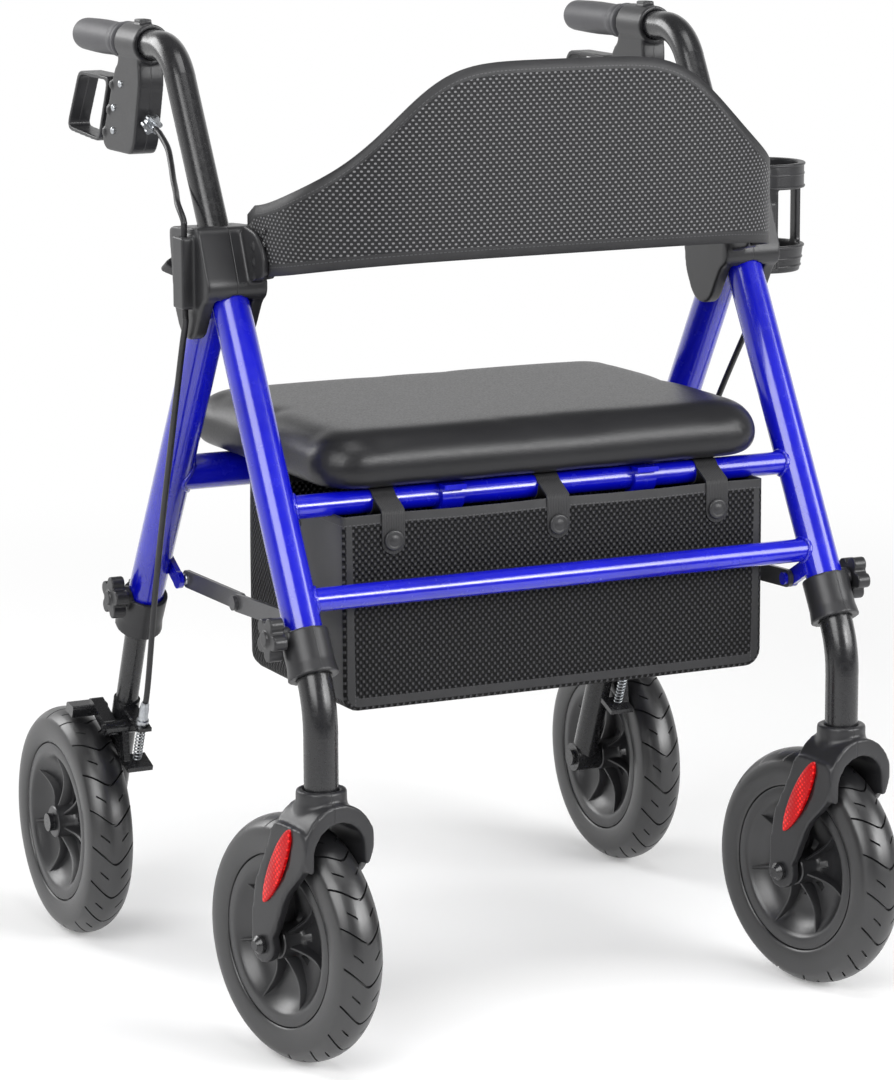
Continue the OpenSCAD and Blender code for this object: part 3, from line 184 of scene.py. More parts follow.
# Welded frames
# Front and rear frames and the seat's clips are steel, welded and powder coated in a glossy royal blue.
# The coat is thick and even, with a faint orange peel that breaks up its highlights.
# A bead of weld runs round each crossbar where it meets a leg.
body_of = {n: b for b, ns in frame["record"]["behaviour"]["bodies"].items() for n in ns}
joints = {j["name"]: j for j in frame["joints"]}
MM = 0.001


def surface(name):
    """A new material with an empty tree, its Principled shader and its object coordinates."""
    made = bpy.data.materials.new(name)
    made.use_nodes = True
    tree = made.node_tree
    tree.nodes.clear()
    shader = add(tree, "ShaderNodeBsdfPrincipled", {}, {})
    add(tree, "ShaderNodeOutputMaterial", {}, {"Surface": shader.outputs[0]})
    place = add(tree, "ShaderNodeTexCoord", {}, {})
    return made, tree, shader, place


def ramp(tree, factor, low, high, start, end):
    """A colour that runs from one to another while a value rises."""
    made = add(tree, "ShaderNodeValToRGB", {}, {"Fac": factor})
    for stop, position, colour in zip(made.color_ramp.elements, (start, end), (low, high)):
        stop.position = position
        stop.color = linear(colour)
    return made.outputs["Color"]


def coat(tree, shader, place, low, high, patch_mm, grain_mm, depth_mm, rough):
    """Two close colours in soft patches, and a fine grain in the relief and in the gloss."""
    patch = add(tree, "ShaderNodeTexNoise", {},
                {"Vector": place, "Scale": 1000 / patch_mm, "Detail": 3.0, "Roughness": 0.6})
    tint = ramp(tree, patch.outputs["Fac"], low, high, 0.3, 0.7)
    grain = add(tree, "ShaderNodeTexNoise", {},
                {"Vector": place, "Scale": 1000 / grain_mm, "Detail": 2.0, "Roughness": 0.5})
    relief = add(tree, "ShaderNodeBump", {},
                 {"Height": grain.outputs["Fac"], "Strength": 0.5, "Distance": depth_mm * MM})
    gloss = add(tree, "ShaderNodeMapRange", {},
                {"Value": grain.outputs["Fac"], "From Min": 0.3, "From Max": 0.7,
                 "To Min": rough - 0.05, "To Max": rough + 0.05})
    tree.links.new(tint, shader.inputs["Base Color"])
    tree.links.new(gloss.outputs["Result"], shader.inputs["Roughness"])
    tree.links.new(relief.outputs["Normal"], shader.inputs["Normal"])
    return relief


blue_coat, tree, shader, place = surface("royal_blue_powder_coat")
coat(tree, shader, place.outputs["Object"], "#0509a2", "#090fba", 90, 12.0, 0.012, 0.24)
shader.inputs["Coat Weight"].default_value = 0.9
shader.inputs["Coat Roughness"].default_value = 0.12


def dress(names, material):
    """A CAD node whose shape is right keeps it, and takes the material."""
    for name in names:
        mesh = frame["nodes"][name].data
        mesh.materials.clear()
        mesh.materials.append(material)


dress(["front_frame", "rear_frame", "seat_clips"], blue_coat)


def baked(thing):
    """The mesh of an object as its modifiers or its curve leave it."""
    bpy.context.view_layer.update()
    return bpy.data.meshes.new_from_object(thing.evaluated_get(bpy.context.evaluated_depsgraph_get()))


def placed(mesh, name, materials):
    """A mesh as a smooth object in the scene."""
    mesh.shade_smooth()
    for material in materials:
        mesh.materials.append(material)
    made = bpy.data.objects.new(name, mesh)
    scene.collection.objects.link(made)
    return made


def shaped(form, name, materials):
    """A finished bmesh as a smooth object in the scene."""
    mesh = bpy.data.meshes.new(name)
    form.to_mesh(mesh)
    form.free()
    return placed(mesh, name, materials)


def piece_from(form, name, materials, body):
    """A finished bmesh as a piece that rides on a body."""
    piece = shaped(form, name, materials)
    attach(piece, body)
    return piece


def hose(name, path, diameter, material):
    """A round tube along a path, as a mesh."""
    curve = bpy.data.curves.new(name, "CURVE")
    curve.dimensions = "3D"
    curve.bevel_depth = diameter / 2
    curve.bevel_resolution = 4
    curve.use_fill_caps = True
    line = curve.splines.new("POLY")
    line.points.add(len(path) - 1)
    for point, p in zip(line.points, path):
        point.co = (*p, 1.0)
    raw = bpy.data.objects.new(name + "_line", curve)
    scene.collection.objects.link(raw)
    mesh = baked(raw)
    bpy.data.objects.remove(raw)
    mesh.materials.clear()
    return placed(mesh, name, [material])


leg_x = 270.0
leg_r = 17.5
front_lean = math.radians(29.5)
rear_lean = math.radians(-30.3)
front_bar = Vector((0, -189.15, 499.0))
low_bar = Vector((0, -232.7, 422.0))
rear_bar = Vector((0, 55.6, 493.0))
for name, body, bar, bar_r, lean in (
    ("front_high", "front_assembly", front_bar, 11.0, front_lean),
    ("front_low", "front_assembly", low_bar, 11.0, front_lean),
    ("rear", "rear_assembly", rear_bar, 17.0, rear_lean),
):
    along = Vector((0, math.sin(lean), math.cos(lean)))
    across = Vector((0, math.cos(lean), -math.sin(lean)))
    for side in (-1, 1):
        bead = []
        for k in range(61):
            a = 2 * math.pi * k / 60
            ring_r = bar_r + 0.4 + 0.25 * math.sin(18 * a)
            saddle = leg_x - math.sqrt(leg_r ** 2 - (bar_r * math.cos(a)) ** 2)
            out = ring_r * (math.cos(a) * across + math.sin(a) * along)
            bead.append((out + bar + Vector((side * saddle, 0, 0))) * MM)
        weld = hose(f"weld_{name}_{'left' if side < 0 else 'right'}", bead, 4.2 * MM, blue_coat)
        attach(weld, body)

# Lower legs and handles
# Steel tubes in a satin graphite coat: bent front stems, rear tubes with a welded foot, handle posts.
# They slide in the collars and housings and are clamped there by knobs. The brake shoes have the same coat.
SIDES = {"l": -1, "r": 1}
CORNERS = ("fl", "fr", "rl", "rr")
graphite_coat, tree, shader, place = surface("graphite_satin_coat")
coat(tree, shader, place.outputs["Object"], "#19191b", "#1f1f21", 60, 5.0, 0.015, 0.26)
shader.inputs["Coat Weight"].default_value = 0.25
shader.inputs["Coat Roughness"].default_value = 0.2
dress([f"leg_{c}" for c in CORNERS], graphite_coat)
dress(["handle_l", "handle_r", "shoe_l", "shoe_r"], graphite_coat)

# Side struts
# Flat steel bars in a light grey coat, bolted to the lugs of both frames.
# They fold upwards at a middle bolt and lock the frame open.
grey_coat, tree, shader, place = surface("grey_bar_coat")
coat(tree, shader, place.outputs["Object"], "#3c3c3e", "#464648", 40, 1.4, 0.03, 0.36)
dress([f"strut_{c}" for c in CORNERS], grey_coat)

# Moulded pieces
# Collars, knobs, housings, brackets, levers, forks and cup holder are injection moulded in filled nylon.
# A mould leaves their corners round and a fine spark-eroded grain on every face.
# The halves of the mould meet in the plane of each leg and leave a fine seam there.
graphite_nylon, tree, shader, place = surface("graphite_moulded_nylon")
grain = coat(tree, shader, place.outputs["Object"], "#212123", "#29292b", 35, 0.9, 0.08, 0.37)
split = add(tree, "ShaderNodeSeparateXYZ", {}, {"Vector": place.outputs["Object"]})
aside = maths(tree, "SUBTRACT", maths(tree, "ABSOLUTE", split.outputs["X"]), leg_x * MM)
apart = maths(tree, "ABSOLUTE", aside)
parting = add(tree, "ShaderNodeMapRange", {}, {"Value": apart, "From Min": 0.2 * MM, "From Max": 0.6 * MM})
seam = add(tree, "ShaderNodeBump", {},
           {"Height": parting.outputs["Result"], "Strength": 0.8, "Distance": 0.4 * MM,
            "Normal": grain.outputs["Normal"]})
tree.links.new(seam.outputs["Normal"], shader.inputs["Normal"])


def moulded(node, cell_mm, passes):
    """A copy of a CAD node with its corners rounded as a mould leaves them."""
    form = bmesh.new()
    form.from_mesh(frame["nodes"][node].data)
    bmesh.ops.remove_doubles(form, verts=form.verts, dist=1e-6)
    rough = shaped(form, node + "_rough", [])
    cells = rough.modifiers.new("cells", "REMESH")
    cells.mode = "VOXEL"
    cells.voxel_size = cell_mm * MM
    soft = rough.modifiers.new("soft", "SMOOTH")
    soft.factor = 0.5
    soft.iterations = passes
    mesh = baked(rough)
    bpy.data.objects.remove(rough)
    mesh.materials.clear()
    piece = placed(mesh, node + "_moulding", [graphite_nylon])
    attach(piece, body_of[node])
    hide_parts(node)


for corner in CORNERS:
    moulded(f"collar_{corner}", 1.1, 6)
    moulded(f"knob_{corner}", 0.9, 6)
for s in SIDES:
    moulded(f"knob_h{s}", 1.1, 6)
    moulded(f"housing_{s}", 1.4, 6)
    moulded(f"bracket_{s}", 1.2, 6)
    moulded(f"lever_{s}", 0.9, 5)
    moulded(f"fork_f{s}", 1.5, 14)
moulded("cup_holder", 1.3, 5)
cup_low, cup_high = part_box("cup_holder")
cup_r = 42.0 * MM
cup_axis = Vector((cup_high.x - cup_r, cup_high.y - cup_r, 0))
cup_lips_mm = ((106.5, 42.0), (97.0, 41.4), (84.5, 41.8), (25.5, 41.6), (14.0, 39.8), (6.0, 38.6))
turns = [2 * math.pi * k / 72 for k in range(73)]
for i, (height, radius) in enumerate(cup_lips_mm):
    centre = cup_axis + Vector((0, 0, cup_low.z + height * MM))
    ring = [centre + radius * MM * Vector((math.cos(t), math.sin(t), 0)) for t in turns]
    lip = hose(f"cup_holder_lip_{i}", ring, 3.0 * MM, graphite_nylon)
    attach(lip, body_of["cup_holder"])

# Hand grips
# Soft elastomer sleeves pushed on the handle tubes.
# Each has a collar, a neck, a palm swell and a closed end with a small hole.
grip_rubber, tree, shader, place = surface("soft_grip_elastomer")
coat(tree, shader, place.outputs["Object"], "#454548", "#4e4e51", 30, 0.8, 0.15, 0.5)


def spun(form, profile, axis, centre, steps):
    """Spins an open profile of points a full turn and closes its seam."""
    verts = [form.verts.new(p) for p in profile]
    edges = [form.edges.new(pair) for pair in zip(verts, verts[1:])]
    bmesh.ops.spin(form, geom=verts + edges, cent=centre, axis=axis, angle=2 * math.pi, steps=steps,
                   use_merge=True)
    bmesh.ops.remove_doubles(form, verts=form.verts, dist=1e-6)
    bmesh.ops.recalc_face_normals(form, faces=form.faces)


grip_low, grip_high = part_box("grip_r")
grip_z = (grip_low.z + grip_high.z) / 2
grip_profile_mm = (
    (14.4, 0.0), (18.0, 0.0), (18.5, 0.6), (18.5, 3.8), (18.0, 4.6), (16.2, 6.0), (15.9, 9.0), (16.6, 10.6),
    (17.0, 12.0), (17.0, 17.0), (16.5, 18.4), (15.9, 20.0), (15.8, 26.0), (16.2, 42.0), (16.5, 60.0),
    (16.3, 80.0), (15.8, 98.0), (15.5, 108.0), (15.0, 111.6), (13.8, 114.2), (11.8, 115.6), (6.0, 116.0),
    (3.1, 116.0), (2.9, 115.4), (2.9, 104.0), (0.0, 104.0),
)
for s, sign in SIDES.items():
    form = bmesh.new()
    centre = Vector((sign * (grip_low.x + grip_high.x) / 2, grip_low.y, grip_z))
    line = [centre + Vector((0, along * MM, radius * MM)) for radius, along in grip_profile_mm]
    spun(form, line, (0, 1, 0), centre, 48)
    grip = piece_from(form, f"grip_{s}_sleeve", [grip_rubber], body_of[f"grip_{s}"])
    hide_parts(f"grip_{s}")

# Bright fittings
# Cable adjusters, bracket rivets and strut bolts are zinc-plated steel, turned and faintly brushed.
# The axle bolts and the rivets of the backrest have the graphite coat of the tubes.
zinc_steel, tree, shader, place = surface("zinc_plated_steel")
coat(tree, shader, place.outputs["Object"], "#a9acb0", "#c4c7ca", 12, 0.5, 0.03, 0.3)
shader.inputs["Metallic"].default_value = 1.0
dress(["adjuster_l", "adjuster_r"], zinc_steel)
dress([f"axle_{c}" for c in CORNERS], graphite_coat)


def dome_head(form, centre, out, radius_mm, height_mm):
    """A domed rivet head on a face, standing along its outward direction."""
    out = Vector(out).normalized()
    side = out.orthogonal().normalized()
    profile = ((1.0, -0.5), (1.0, 0.2), (0.93, 0.5), (0.72, 0.8), (0.4, 0.95), (0.0, 1.0))
    line = [centre + r * radius_mm * MM * side + h * height_mm * MM * out for r, h in profile]
    spun(form, line, out, centre, 24)


bracket_face = 283.0
bracket_rivets = ((139.0, 857.0), (158.0, 833.0), (161.0, 811.0))
band_rivets = ((-132.4, 743.0), (-132.4, 731.0), (-132.4, 719.0))
band_face = 253.8
strut_bolts = {"front_assembly": (254.5, -214.55, 391.93), "rear_assembly": (246.0, 86.56, 382.47)}
for s, sign in SIDES.items():
    form = bmesh.new()
    for y, z in bracket_rivets:
        dome_head(form, Vector((sign * bracket_face, y, z)) * MM, (sign, 0, 0), 3.6, 2.4)
    heads = piece_from(form, f"bracket_rivets_{s}", [zinc_steel], body_of[f"bracket_{s}"])
    form = bmesh.new()
    for y, z in band_rivets:
        dome_head(form, Vector((sign * band_face, y, z)) * MM, (sign, 0, 0), 3.2, 2.0)
    heads = piece_from(form, f"band_rivets_{s}", [graphite_coat], "front_assembly")
    for body, (x, y, z) in strut_bolts.items():
        form = bmesh.new()
        dome_head(form, Vector((sign * x, y, z)) * MM, (sign, 0, 0), 5.4, 3.2)
        head = piece_from(form, f"strut_bolt_{s}_{body}", [zinc_steel], body)

# Reflectors
# Almond lenses of clear red acrylic, let into both sides of each fork.
# A grid of small prisms is moulded in the back and shows through. The lens is also given a faint painted glow.
prism_mm = 4.0
red_lens, tree, shader, place = surface("red_prism_acrylic")
spread = add(tree, "ShaderNodeMapping", {},
             {"Vector": place.outputs["Object"], "Rotation": (math.radians(45), 0, 0)})
cells = add(tree, "ShaderNodeTexVoronoi", {"feature": "F1", "distance": "MANHATTAN"},
            {"Vector": spread.outputs["Vector"], "Scale": 1000 / prism_mm, "Randomness": 0.0})
prism_red_and_painted_glow = ramp(tree, cells.outputs["Distance"], "#ff2c24", "#a00208", 0.1, 0.62)
facets = add(tree, "ShaderNodeBump", {},
             {"Height": cells.outputs["Distance"], "Strength": 0.5, "Distance": 0.6 * MM})
tree.links.new(prism_red_and_painted_glow, shader.inputs["Base Color"])
tree.links.new(facets.outputs["Normal"], shader.inputs["Normal"])
# The lens also gives out its prism colour as a faint emission: a painted glow, as the reflector is no lamp.
tree.links.new(prism_red_and_painted_glow, shader.inputs["Emission Color"])
shader.inputs["Emission Strength"].default_value = 0.4
shader.inputs["Roughness"].default_value = 0.3
shader.inputs["Specular IOR Level"].default_value = 0.3
lens_half_l = 43.0 * MM
lens_half_w = 9.4 * MM
lens_thick = 3.0 * MM
lens_proud = 0.9 * MM
lens_lean = Vector((0, 0, 12 * MM))
for s in SIDES:
    fork = joints[f"wheel_roll_f{s}"]
    axle = Vector(fork["axis"])
    hub = Vector(fork["pos_m"])
    cad_points = [v.co for v in frame["nodes"][f"reflector_f{s}"].data.vertices]
    form = bmesh.new()
    for out in (axle, -axle):
        face = [p for p in cad_points if (p - hub).dot(out) > 0]
        low, high = min(face, key=lambda p: p.z), max(face, key=lambda p: p.z)
        height = max((p - hub).dot(out) for p in face)
        along = (high - low + lens_lean).normalized()
        across = out.cross(along)
        centre = (high + low) / 2
        centre += (height + lens_proud - lens_thick - (centre - hub).dot(out)) * out
        outline = []
        for k in range(36):
            turn = 2 * math.pi * k / 36
            bulge = lens_half_w * math.sin(turn) * abs(math.sin(turn)) ** 0.25
            outline.append(form.verts.new(centre + lens_half_l * math.cos(turn) * along + bulge * across))
        plate = form.faces.new(outline)
        raised = bmesh.ops.extrude_face_region(form, geom=[plate])
        top = [g for g in raised["geom"] if isinstance(g, bmesh.types.BMFace)]
        bmesh.ops.translate(form, verts=top[0].verts[:], vec=lens_thick * out)
        bmesh.ops.inset_individual(form, faces=top, thickness=1.4 * MM, depth=0.6 * MM)
    bmesh.ops.recalc_face_normals(form, faces=form.faces)
    lens = piece_from(form, f"reflector_f{s}_lens", [red_lens], body_of[f"reflector_f{s}"])
    lens.data.set_sharp_from_angle(angle=math.radians(40))
    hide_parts(f"reflector_f{s}")

# Wheels
# Solid polyurethane tyres on nylon rims, moulded as a dish with ribs, which turn on the axle bolts.
# The tread has chevron grooves with a short slit on each side between them. The smooth sidewall meets the
# rim's flange in a thin open line.
rim_nylon, tree, shader, place = surface("moulded_rim_nylon")
coat(tree, shader, place.outputs["Object"], "#1c1c1e", "#242426", 45, 1.1, 0.06, 0.34)
shader.inputs["Specular IOR Level"].default_value = 0.75
tyre_foam, tree, shader, place = surface("solid_polyurethane_tyre")
coat(tree, shader, place.outputs["Object"], "#121214", "#19191b", 25, 0.7, 0.05, 0.35)
shader.inputs["Specular IOR Level"].default_value = 0.9

wheel_r = 114.3
chevrons = 18
pitch = 2 * math.pi * wheel_r / chevrons
groove_half = (1.25, 0.65)
slit_half = (1.15, 0.55)
groove_depth = 3.0
slit_depth = 2.6
slit_reach = (7.0, 14.6)
groove_stations = (1, 2)
slit_stations = (9, 10)
tread_edge = 21.4
cut_edge = 20.3
tread_low = 100 * MM
stations = (
    [-groove_half[0], -groove_half[1], groove_half[1], groove_half[0], 4, 8, 12, 16]
    + [pitch / 2 + d for d in (-slit_half[0], -slit_half[1], slit_half[1], slit_half[0])]
    + [pitch - d for d in (16, 12, 8, 4)]
)
crown_x = (0, 2, 4, 6.4, 7.0, 9.5, 12, 14.6, 15.2, 17, 18.8, 20.2, 21.4)
flank_mm = (
    (22.3, 101.6), (22.9, 98.8), (23.2, 95.6), (23.2, 92.0), (22.9, 88.4), (22.4, 85.2), (21.7, 82.4),
    (20.9, 80.6), (20.2, 80.0), (17.5, 79.5), (17.5, 75.1),
)


def crown_radius(x):
    """Radius of the uncut tread at a distance from its middle."""
    return wheel_r - 0.0165 * x * x - 1.3e-5 * x ** 4


def sweep_back(x):
    """How far a chevron has run round the tyre at a distance from its middle: a V with a round foot."""
    foot = 4.0
    reach = min(abs(x), tread_edge)
    return 1.05 * (math.sqrt(reach * reach + foot * foot) - foot)


def cut_depth(x, station):
    """Depth of groove or slit at a place on the tread."""
    if abs(x) > cut_edge:
        return 0.0
    if station in groove_stations:
        return groove_depth
    if station in slit_stations and slit_reach[0] <= abs(x) <= slit_reach[1]:
        return slit_depth
    return 0.0


def ring_spun(form, ring_mm, steps):
    """Spins a closed ring of points, across the wheel and out from its middle, a full turn."""
    verts = [form.verts.new((x * MM, 0, r * MM)) for x, r in ring_mm]
    edges = [form.edges.new((verts[i], verts[(i + 1) % len(verts)])) for i in range(len(verts))]
    bmesh.ops.spin(form, geom=verts + edges, cent=(0, 0, 0), axis=(1, 0, 0), angle=2 * math.pi, steps=steps,
                   use_merge=True)
    bmesh.ops.remove_doubles(form, verts=form.verts, dist=1e-6)


def set_on_axle(form, corner):
    """Turns a wheel's form to its axle and moves it there."""
    joint = joints[f"wheel_roll_{corner}"]
    axle = Vector(joint["axis"])
    swivel = Matrix.Rotation(math.atan2(axle.y, axle.x), 3, "Z")
    bmesh.ops.recalc_face_normals(form, faces=form.faces)
    bmesh.ops.rotate(form, verts=form.verts, cent=(0, 0, 0), matrix=swivel)
    bmesh.ops.translate(form, verts=form.verts, vec=Vector(joint["pos_m"]))


half = [(x, crown_radius(x)) for x in crown_x] + list(flank_mm)
tyre_ring = [(-x, r) for x, r in reversed(half[1:])] + half
count = chevrons * len(stations)
for corner in CORNERS:
    form = bmesh.new()
    ring_spun(form, tyre_ring, count)
    for v in form.verts:
        x = v.co.x / MM
        radius = math.hypot(v.co.y, v.co.z)
        turn = math.atan2(-v.co.y, v.co.z) % (2 * math.pi)
        step = round(turn / (2 * math.pi) * count) % count
        sector, station = divmod(step, len(stations))
        around = sector * pitch + stations[station] - sweep_back(x)
        if radius > tread_low:
            radius -= cut_depth(x, station) * MM
        angle = around / wheel_r
        v.co.y = -radius * math.sin(angle)
        v.co.z = radius * math.cos(angle)
    set_on_axle(form, corner)
    tyre = piece_from(form, f"tyre_{corner}_tread", [tyre_foam], body_of[f"tyre_{corner}"])
    tyre.data.set_sharp_from_angle(angle=math.radians(38))
    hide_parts(f"tyre_{corner}")

ribs = 7
hub_half = 23.0
dish_mm = (
    (hub_half, 5.1), (hub_half, 15.0), (hub_half - 1, 16.0), (7.0, 17.0), (4.0, 19.6), (2.8, 24.0),
    (2.7, 30.0), (2.8, 37.0), (3.8, 46.0), (6.8, 54.0), (11.6, 60.4), (16.6, 64.8), (19.0, 67.0),
    (20.1, 69.0), (20.4, 71.0), (20.4, 78.0), (20.0, 78.8), (19.2, 79.0), (17.7, 78.9), (17.5, 75.0),
)
dish_ring = dish_mm + tuple((-x, r) for x, r in reversed(dish_mm))
dish_steps = 14 * ribs
rib_mm = ((-2.6, 0.0), (-1.5, 0.9), (-0.8, 1.0), (0.8, 1.0), (1.5, 0.9), (2.6, 0.0))
rib_start = 14.5
rib_length = 52.0
rib_root = 1.5
rib_ends = 18.0
rib_hollow = 7.0
window_from = 19.6 * MM
window_to = 30.0 * MM
window_deep = 5.0 * MM
window_turn = 4 * math.pi / dish_steps


def rib_rows(turn, side):
    """Rows of points across one rib of the dish, from the hub to the flange, hollow along its crest."""
    rows = []
    for k in range(13):
        share = k / 12
        radius = rib_start + rib_length * share
        crest = rib_ends - rib_hollow * math.sin(math.pi * share) - rib_root
        points = [Vector((side * (rib_root + crest * up), across, radius)) * MM for across, up in rib_mm]
        rows.append([Matrix.Rotation(turn, 3, "X") @ p for p in points])
    return rows


for corner in CORNERS:
    form = bmesh.new()
    ring_spun(form, dish_ring, dish_steps)
    for i in range(ribs):
        towards = Matrix.Rotation(2 * math.pi * (i + 0.5) / ribs, 3, "X") @ Vector((0, 0, 1))
        window = []
        for face in form.faces:
            middle = face.calc_center_median()
            spoke = Vector((0, middle.y, middle.z))
            beside_hub = window_from < spoke.length < window_to and abs(middle.x) < window_deep
            if beside_hub and spoke.angle(towards) < window_turn:
                window.append(face)
        bmesh.ops.delete(form, geom=window, context="FACES")
        bmesh.ops.bridge_loops(form, edges=[e for e in form.edges if e.is_boundary])
    for i in range(ribs):
        for side in (-1, 1):
            rows = [[form.verts.new(p) for p in row] for row in rib_rows(2 * math.pi * i / ribs, side)]
            for near, far in zip(rows, rows[1:]):
                for k in range(len(near) - 1):
                    form.faces.new((near[k], near[k + 1], far[k + 1], far[k]))
    set_on_axle(form, corner)
    rim = piece_from(form, f"rim_{corner}_dish", [rim_nylon], body_of[f"rim_{corner}"])
    rim.data.set_sharp_from_angle(angle=math.radians(40))
    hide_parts(f"rim_{corner}")

# Backrest
# A band of woven polyester mesh with a folded binding sewn along its edges, riveted at each end to the housing.
# The mesh is dark with pale yarn showing in rows of short dashes.
band_half = 252.0 * MM
band_bow = 145.0 * MM
band_end_y = -90.6 * MM
band_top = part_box("backrest")[1].z
band_drop = 134.0 * MM
band_low = 720.0 * MM
band_low_drop = 20.0 * MM
band_thick = 3.6 * MM
binding_w = 11.0 * MM


def uv_metres(form, flat_point):
    """A UV map in metres, from a function of a vertex."""
    layer = form.loops.layers.uv.new("weave")
    for face in form.faces:
        for loop in face.loops:
            loop[layer].uv = flat_point(loop.vert, face)


def flat_place(tree, place):
    """Places along and across a cloth in metres, from its UV map."""
    flat = add(tree, "ShaderNodeSeparateXYZ", {}, {"Vector": place.outputs["UV"]})
    return flat.outputs["X"], flat.outputs["Y"]


def weave_waves(tree, place, dash_mm, row_mm):
    """Waves along and across a cloth, one dash and one pair of rows long."""
    along, across = flat_place(tree, place)
    dashes = maths(tree, "MULTIPLY", along, 2000 * math.pi / dash_mm)
    rows = maths(tree, "MULTIPLY", across, 1000 * math.pi / row_mm)
    return maths(tree, "COSINE", dashes), maths(tree, "COSINE", rows)


mesh_cloth, tree, shader, place = surface("woven_polyester_mesh")
wave_a, wave_b = weave_waves(tree, place, dash_mm=6.2, row_mm=3.4)
knots = maths(tree, "MULTIPLY", wave_a, maths(tree, "POWER", wave_b, 3.0))
yarn = ramp(tree, knots, "#18181a", "#6e6e70", 0.12, 0.45)
twist = add(tree, "ShaderNodeBump", {}, {"Height": knots, "Strength": 0.6, "Distance": 0.5 * MM})
tree.links.new(yarn, shader.inputs["Base Color"])
tree.links.new(twist.outputs["Normal"], shader.inputs["Normal"])
shader.inputs["Roughness"].default_value = 0.55
shader.inputs["Specular IOR Level"].default_value = 0.3
shader.inputs["Sheen Weight"].default_value = 0.15
shader.inputs["Sheen Roughness"].default_value = 0.35

binding_tape, tree, shader, place = surface("black_binding_tape")
grain = coat(tree, shader, place.outputs["Object"], "#1d1d1f", "#252527", 20, 1.0, 0.12, 0.55)
stitch_mm = 4.0
stitch_share = 0.64
thread_half = 0.45 * MM
seam_in = 8.0 * MM
along, inward = flat_place(tree, place)
beat = maths(tree, "FRACT", maths(tree, "MULTIPLY", along, 1000 / stitch_mm))
gap = maths(tree, "ABSOLUTE", maths(tree, "SUBTRACT", inward, seam_in))
dash = maths(tree, "LESS_THAN", beat, stitch_share)
stitch = maths(tree, "MULTIPLY", dash, maths(tree, "LESS_THAN", gap, thread_half))
tape_colour = shader.inputs["Base Color"].links[0].from_socket
sewn = add(tree, "ShaderNodeMix", {"data_type": "RGBA"},
           {"Factor": stitch, 6: tape_colour, 7: linear("#3e3e40")})
raised = add(tree, "ShaderNodeBump", {},
             {"Height": stitch, "Strength": 0.7, "Distance": 0.4 * MM, "Normal": grain.outputs["Normal"]})
tree.links.new(sewn.outputs[2], shader.inputs["Base Color"])
tree.links.new(raised.outputs["Normal"], shader.inputs["Normal"])


def band_point(turn):
    """Plan of the band at a turn from the middle, in degrees."""
    a = math.radians(turn)
    x = band_half * math.copysign(math.sqrt(abs(math.sin(a))), math.sin(a))
    return Vector((x, band_end_y - band_bow * math.sqrt(max(math.cos(a), 0.0)), 0))


def band_edges(turn):
    """Heights of the lower and the upper edge of the band, by the same curve as the solid's."""
    u = max(abs(turn) / 90, 0.001)
    slope = 0.81 / (1 + (0.322 / u) ** 2.6) + 0.22 * u ** 2.5
    low = band_low - band_low_drop * u * u
    return low, band_top - band_drop * slope


columns = 160
rows = 24
corner_r = 9.0 * MM
turns = [-89.97 + 179.94 * i / columns for i in range(columns + 1)]
plan = [band_point(turn) for turn in turns]
runs = [0.0]
for p, q in zip(plan, plan[1:]):
    runs.append(runs[-1] + (q - p).length)
form = bmesh.new()
grid = []
arc_of = {}
edge_of = {}
for i, (turn, p, run) in enumerate(zip(turns, plan, runs)):
    low, high = band_edges(turn)
    inward = min(run, runs[-1] - run, corner_r)
    cut = corner_r - math.sqrt(corner_r ** 2 - (corner_r - inward) ** 2)
    low += 0.6 * cut
    high -= cut
    heights = [low, low + binding_w]
    heights += [low + binding_w + (high - low - 2 * binding_w) * k / rows for k in range(1, rows)]
    heights += [high - binding_w, high]
    column = [form.verts.new((p.x, p.y, h)) for h in heights]
    for v in column:
        arc_of[v] = run
        edge_of[v] = binding_w
    edge_of[column[0]] = 0.0
    edge_of[column[-1]] = 0.0
    grid.append(column)
for left, right in zip(grid, grid[1:]):
    for k in range(len(left) - 1):
        face = form.faces.new((left[k], right[k], right[k + 1], left[k + 1]))
        face.material_index = 1 if k in (0, len(left) - 2) else 0
uv_metres(form, lambda v, face: (arc_of[v], edge_of[v] if face.material_index else v.co.z))
bmesh.ops.recalc_face_normals(form, faces=form.faces)
band = piece_from(form, "backrest_band", [mesh_cloth, binding_tape], "front_assembly")
wall = band.modifiers.new("cloth", "SOLIDIFY")
wall.thickness = band_thick
wall.offset = 0.0
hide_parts("backrest")

# Bag
# A box of heavy bobbled weave under the seat, hung from both bars by webbing. A plain gusset is sewn in at the
# front of each side, and tape binds the front edges and the rim. The walls swell, and the rim droops a little
# between the straps.
bag_half = 218.5 * MM
bag_front = -218.0 * MM
bag_back = 11.0 * MM
bag_base = 311.0 * MM
bag_rim = 492.0 * MM
bag_wall = 2.4 * MM
gusset_end = bag_front + 88 * MM
rim_droop = 1.2 * MM
front_tape = 8 * MM
rim_tape = 9 * MM
floor_round = 16 * MM
rear_round = 26 * MM
front_round = 4 * MM
touching = 1e-4
strap_x = 168 * MM

bag_cloth, tree, shader, place = surface("bobbled_bag_weave")
wave_a, wave_b = weave_waves(tree, place, dash_mm=6.2, row_mm=3.6)
bobbles = maths(tree, "MULTIPLY", wave_a, wave_b)
# The cloth's own colour is near black. It is darker in the gaps and lighter on the bobbles, in step with their
# relief: painted shade in the gaps and a painted highlight on the bobbles.
cloth_and_bobble_light = ramp(tree, bobbles, "#09090a", "#414143", 0.05, 0.75)
swell = add(tree, "ShaderNodeBump", {}, {"Height": bobbles, "Strength": 1.0, "Distance": 1.1 * MM})
tree.links.new(cloth_and_bobble_light, shader.inputs["Base Color"])
tree.links.new(swell.outputs["Normal"], shader.inputs["Normal"])
shader.inputs["Roughness"].default_value = 0.6
shader.inputs["Specular IOR Level"].default_value = 0.2

gusset_cloth, tree, shader, place = surface("plain_gusset_cloth")
coat(tree, shader, place.outputs["UV"], "#2c2c2e", "#343436", 70, 0.9, 0.12, 0.6)


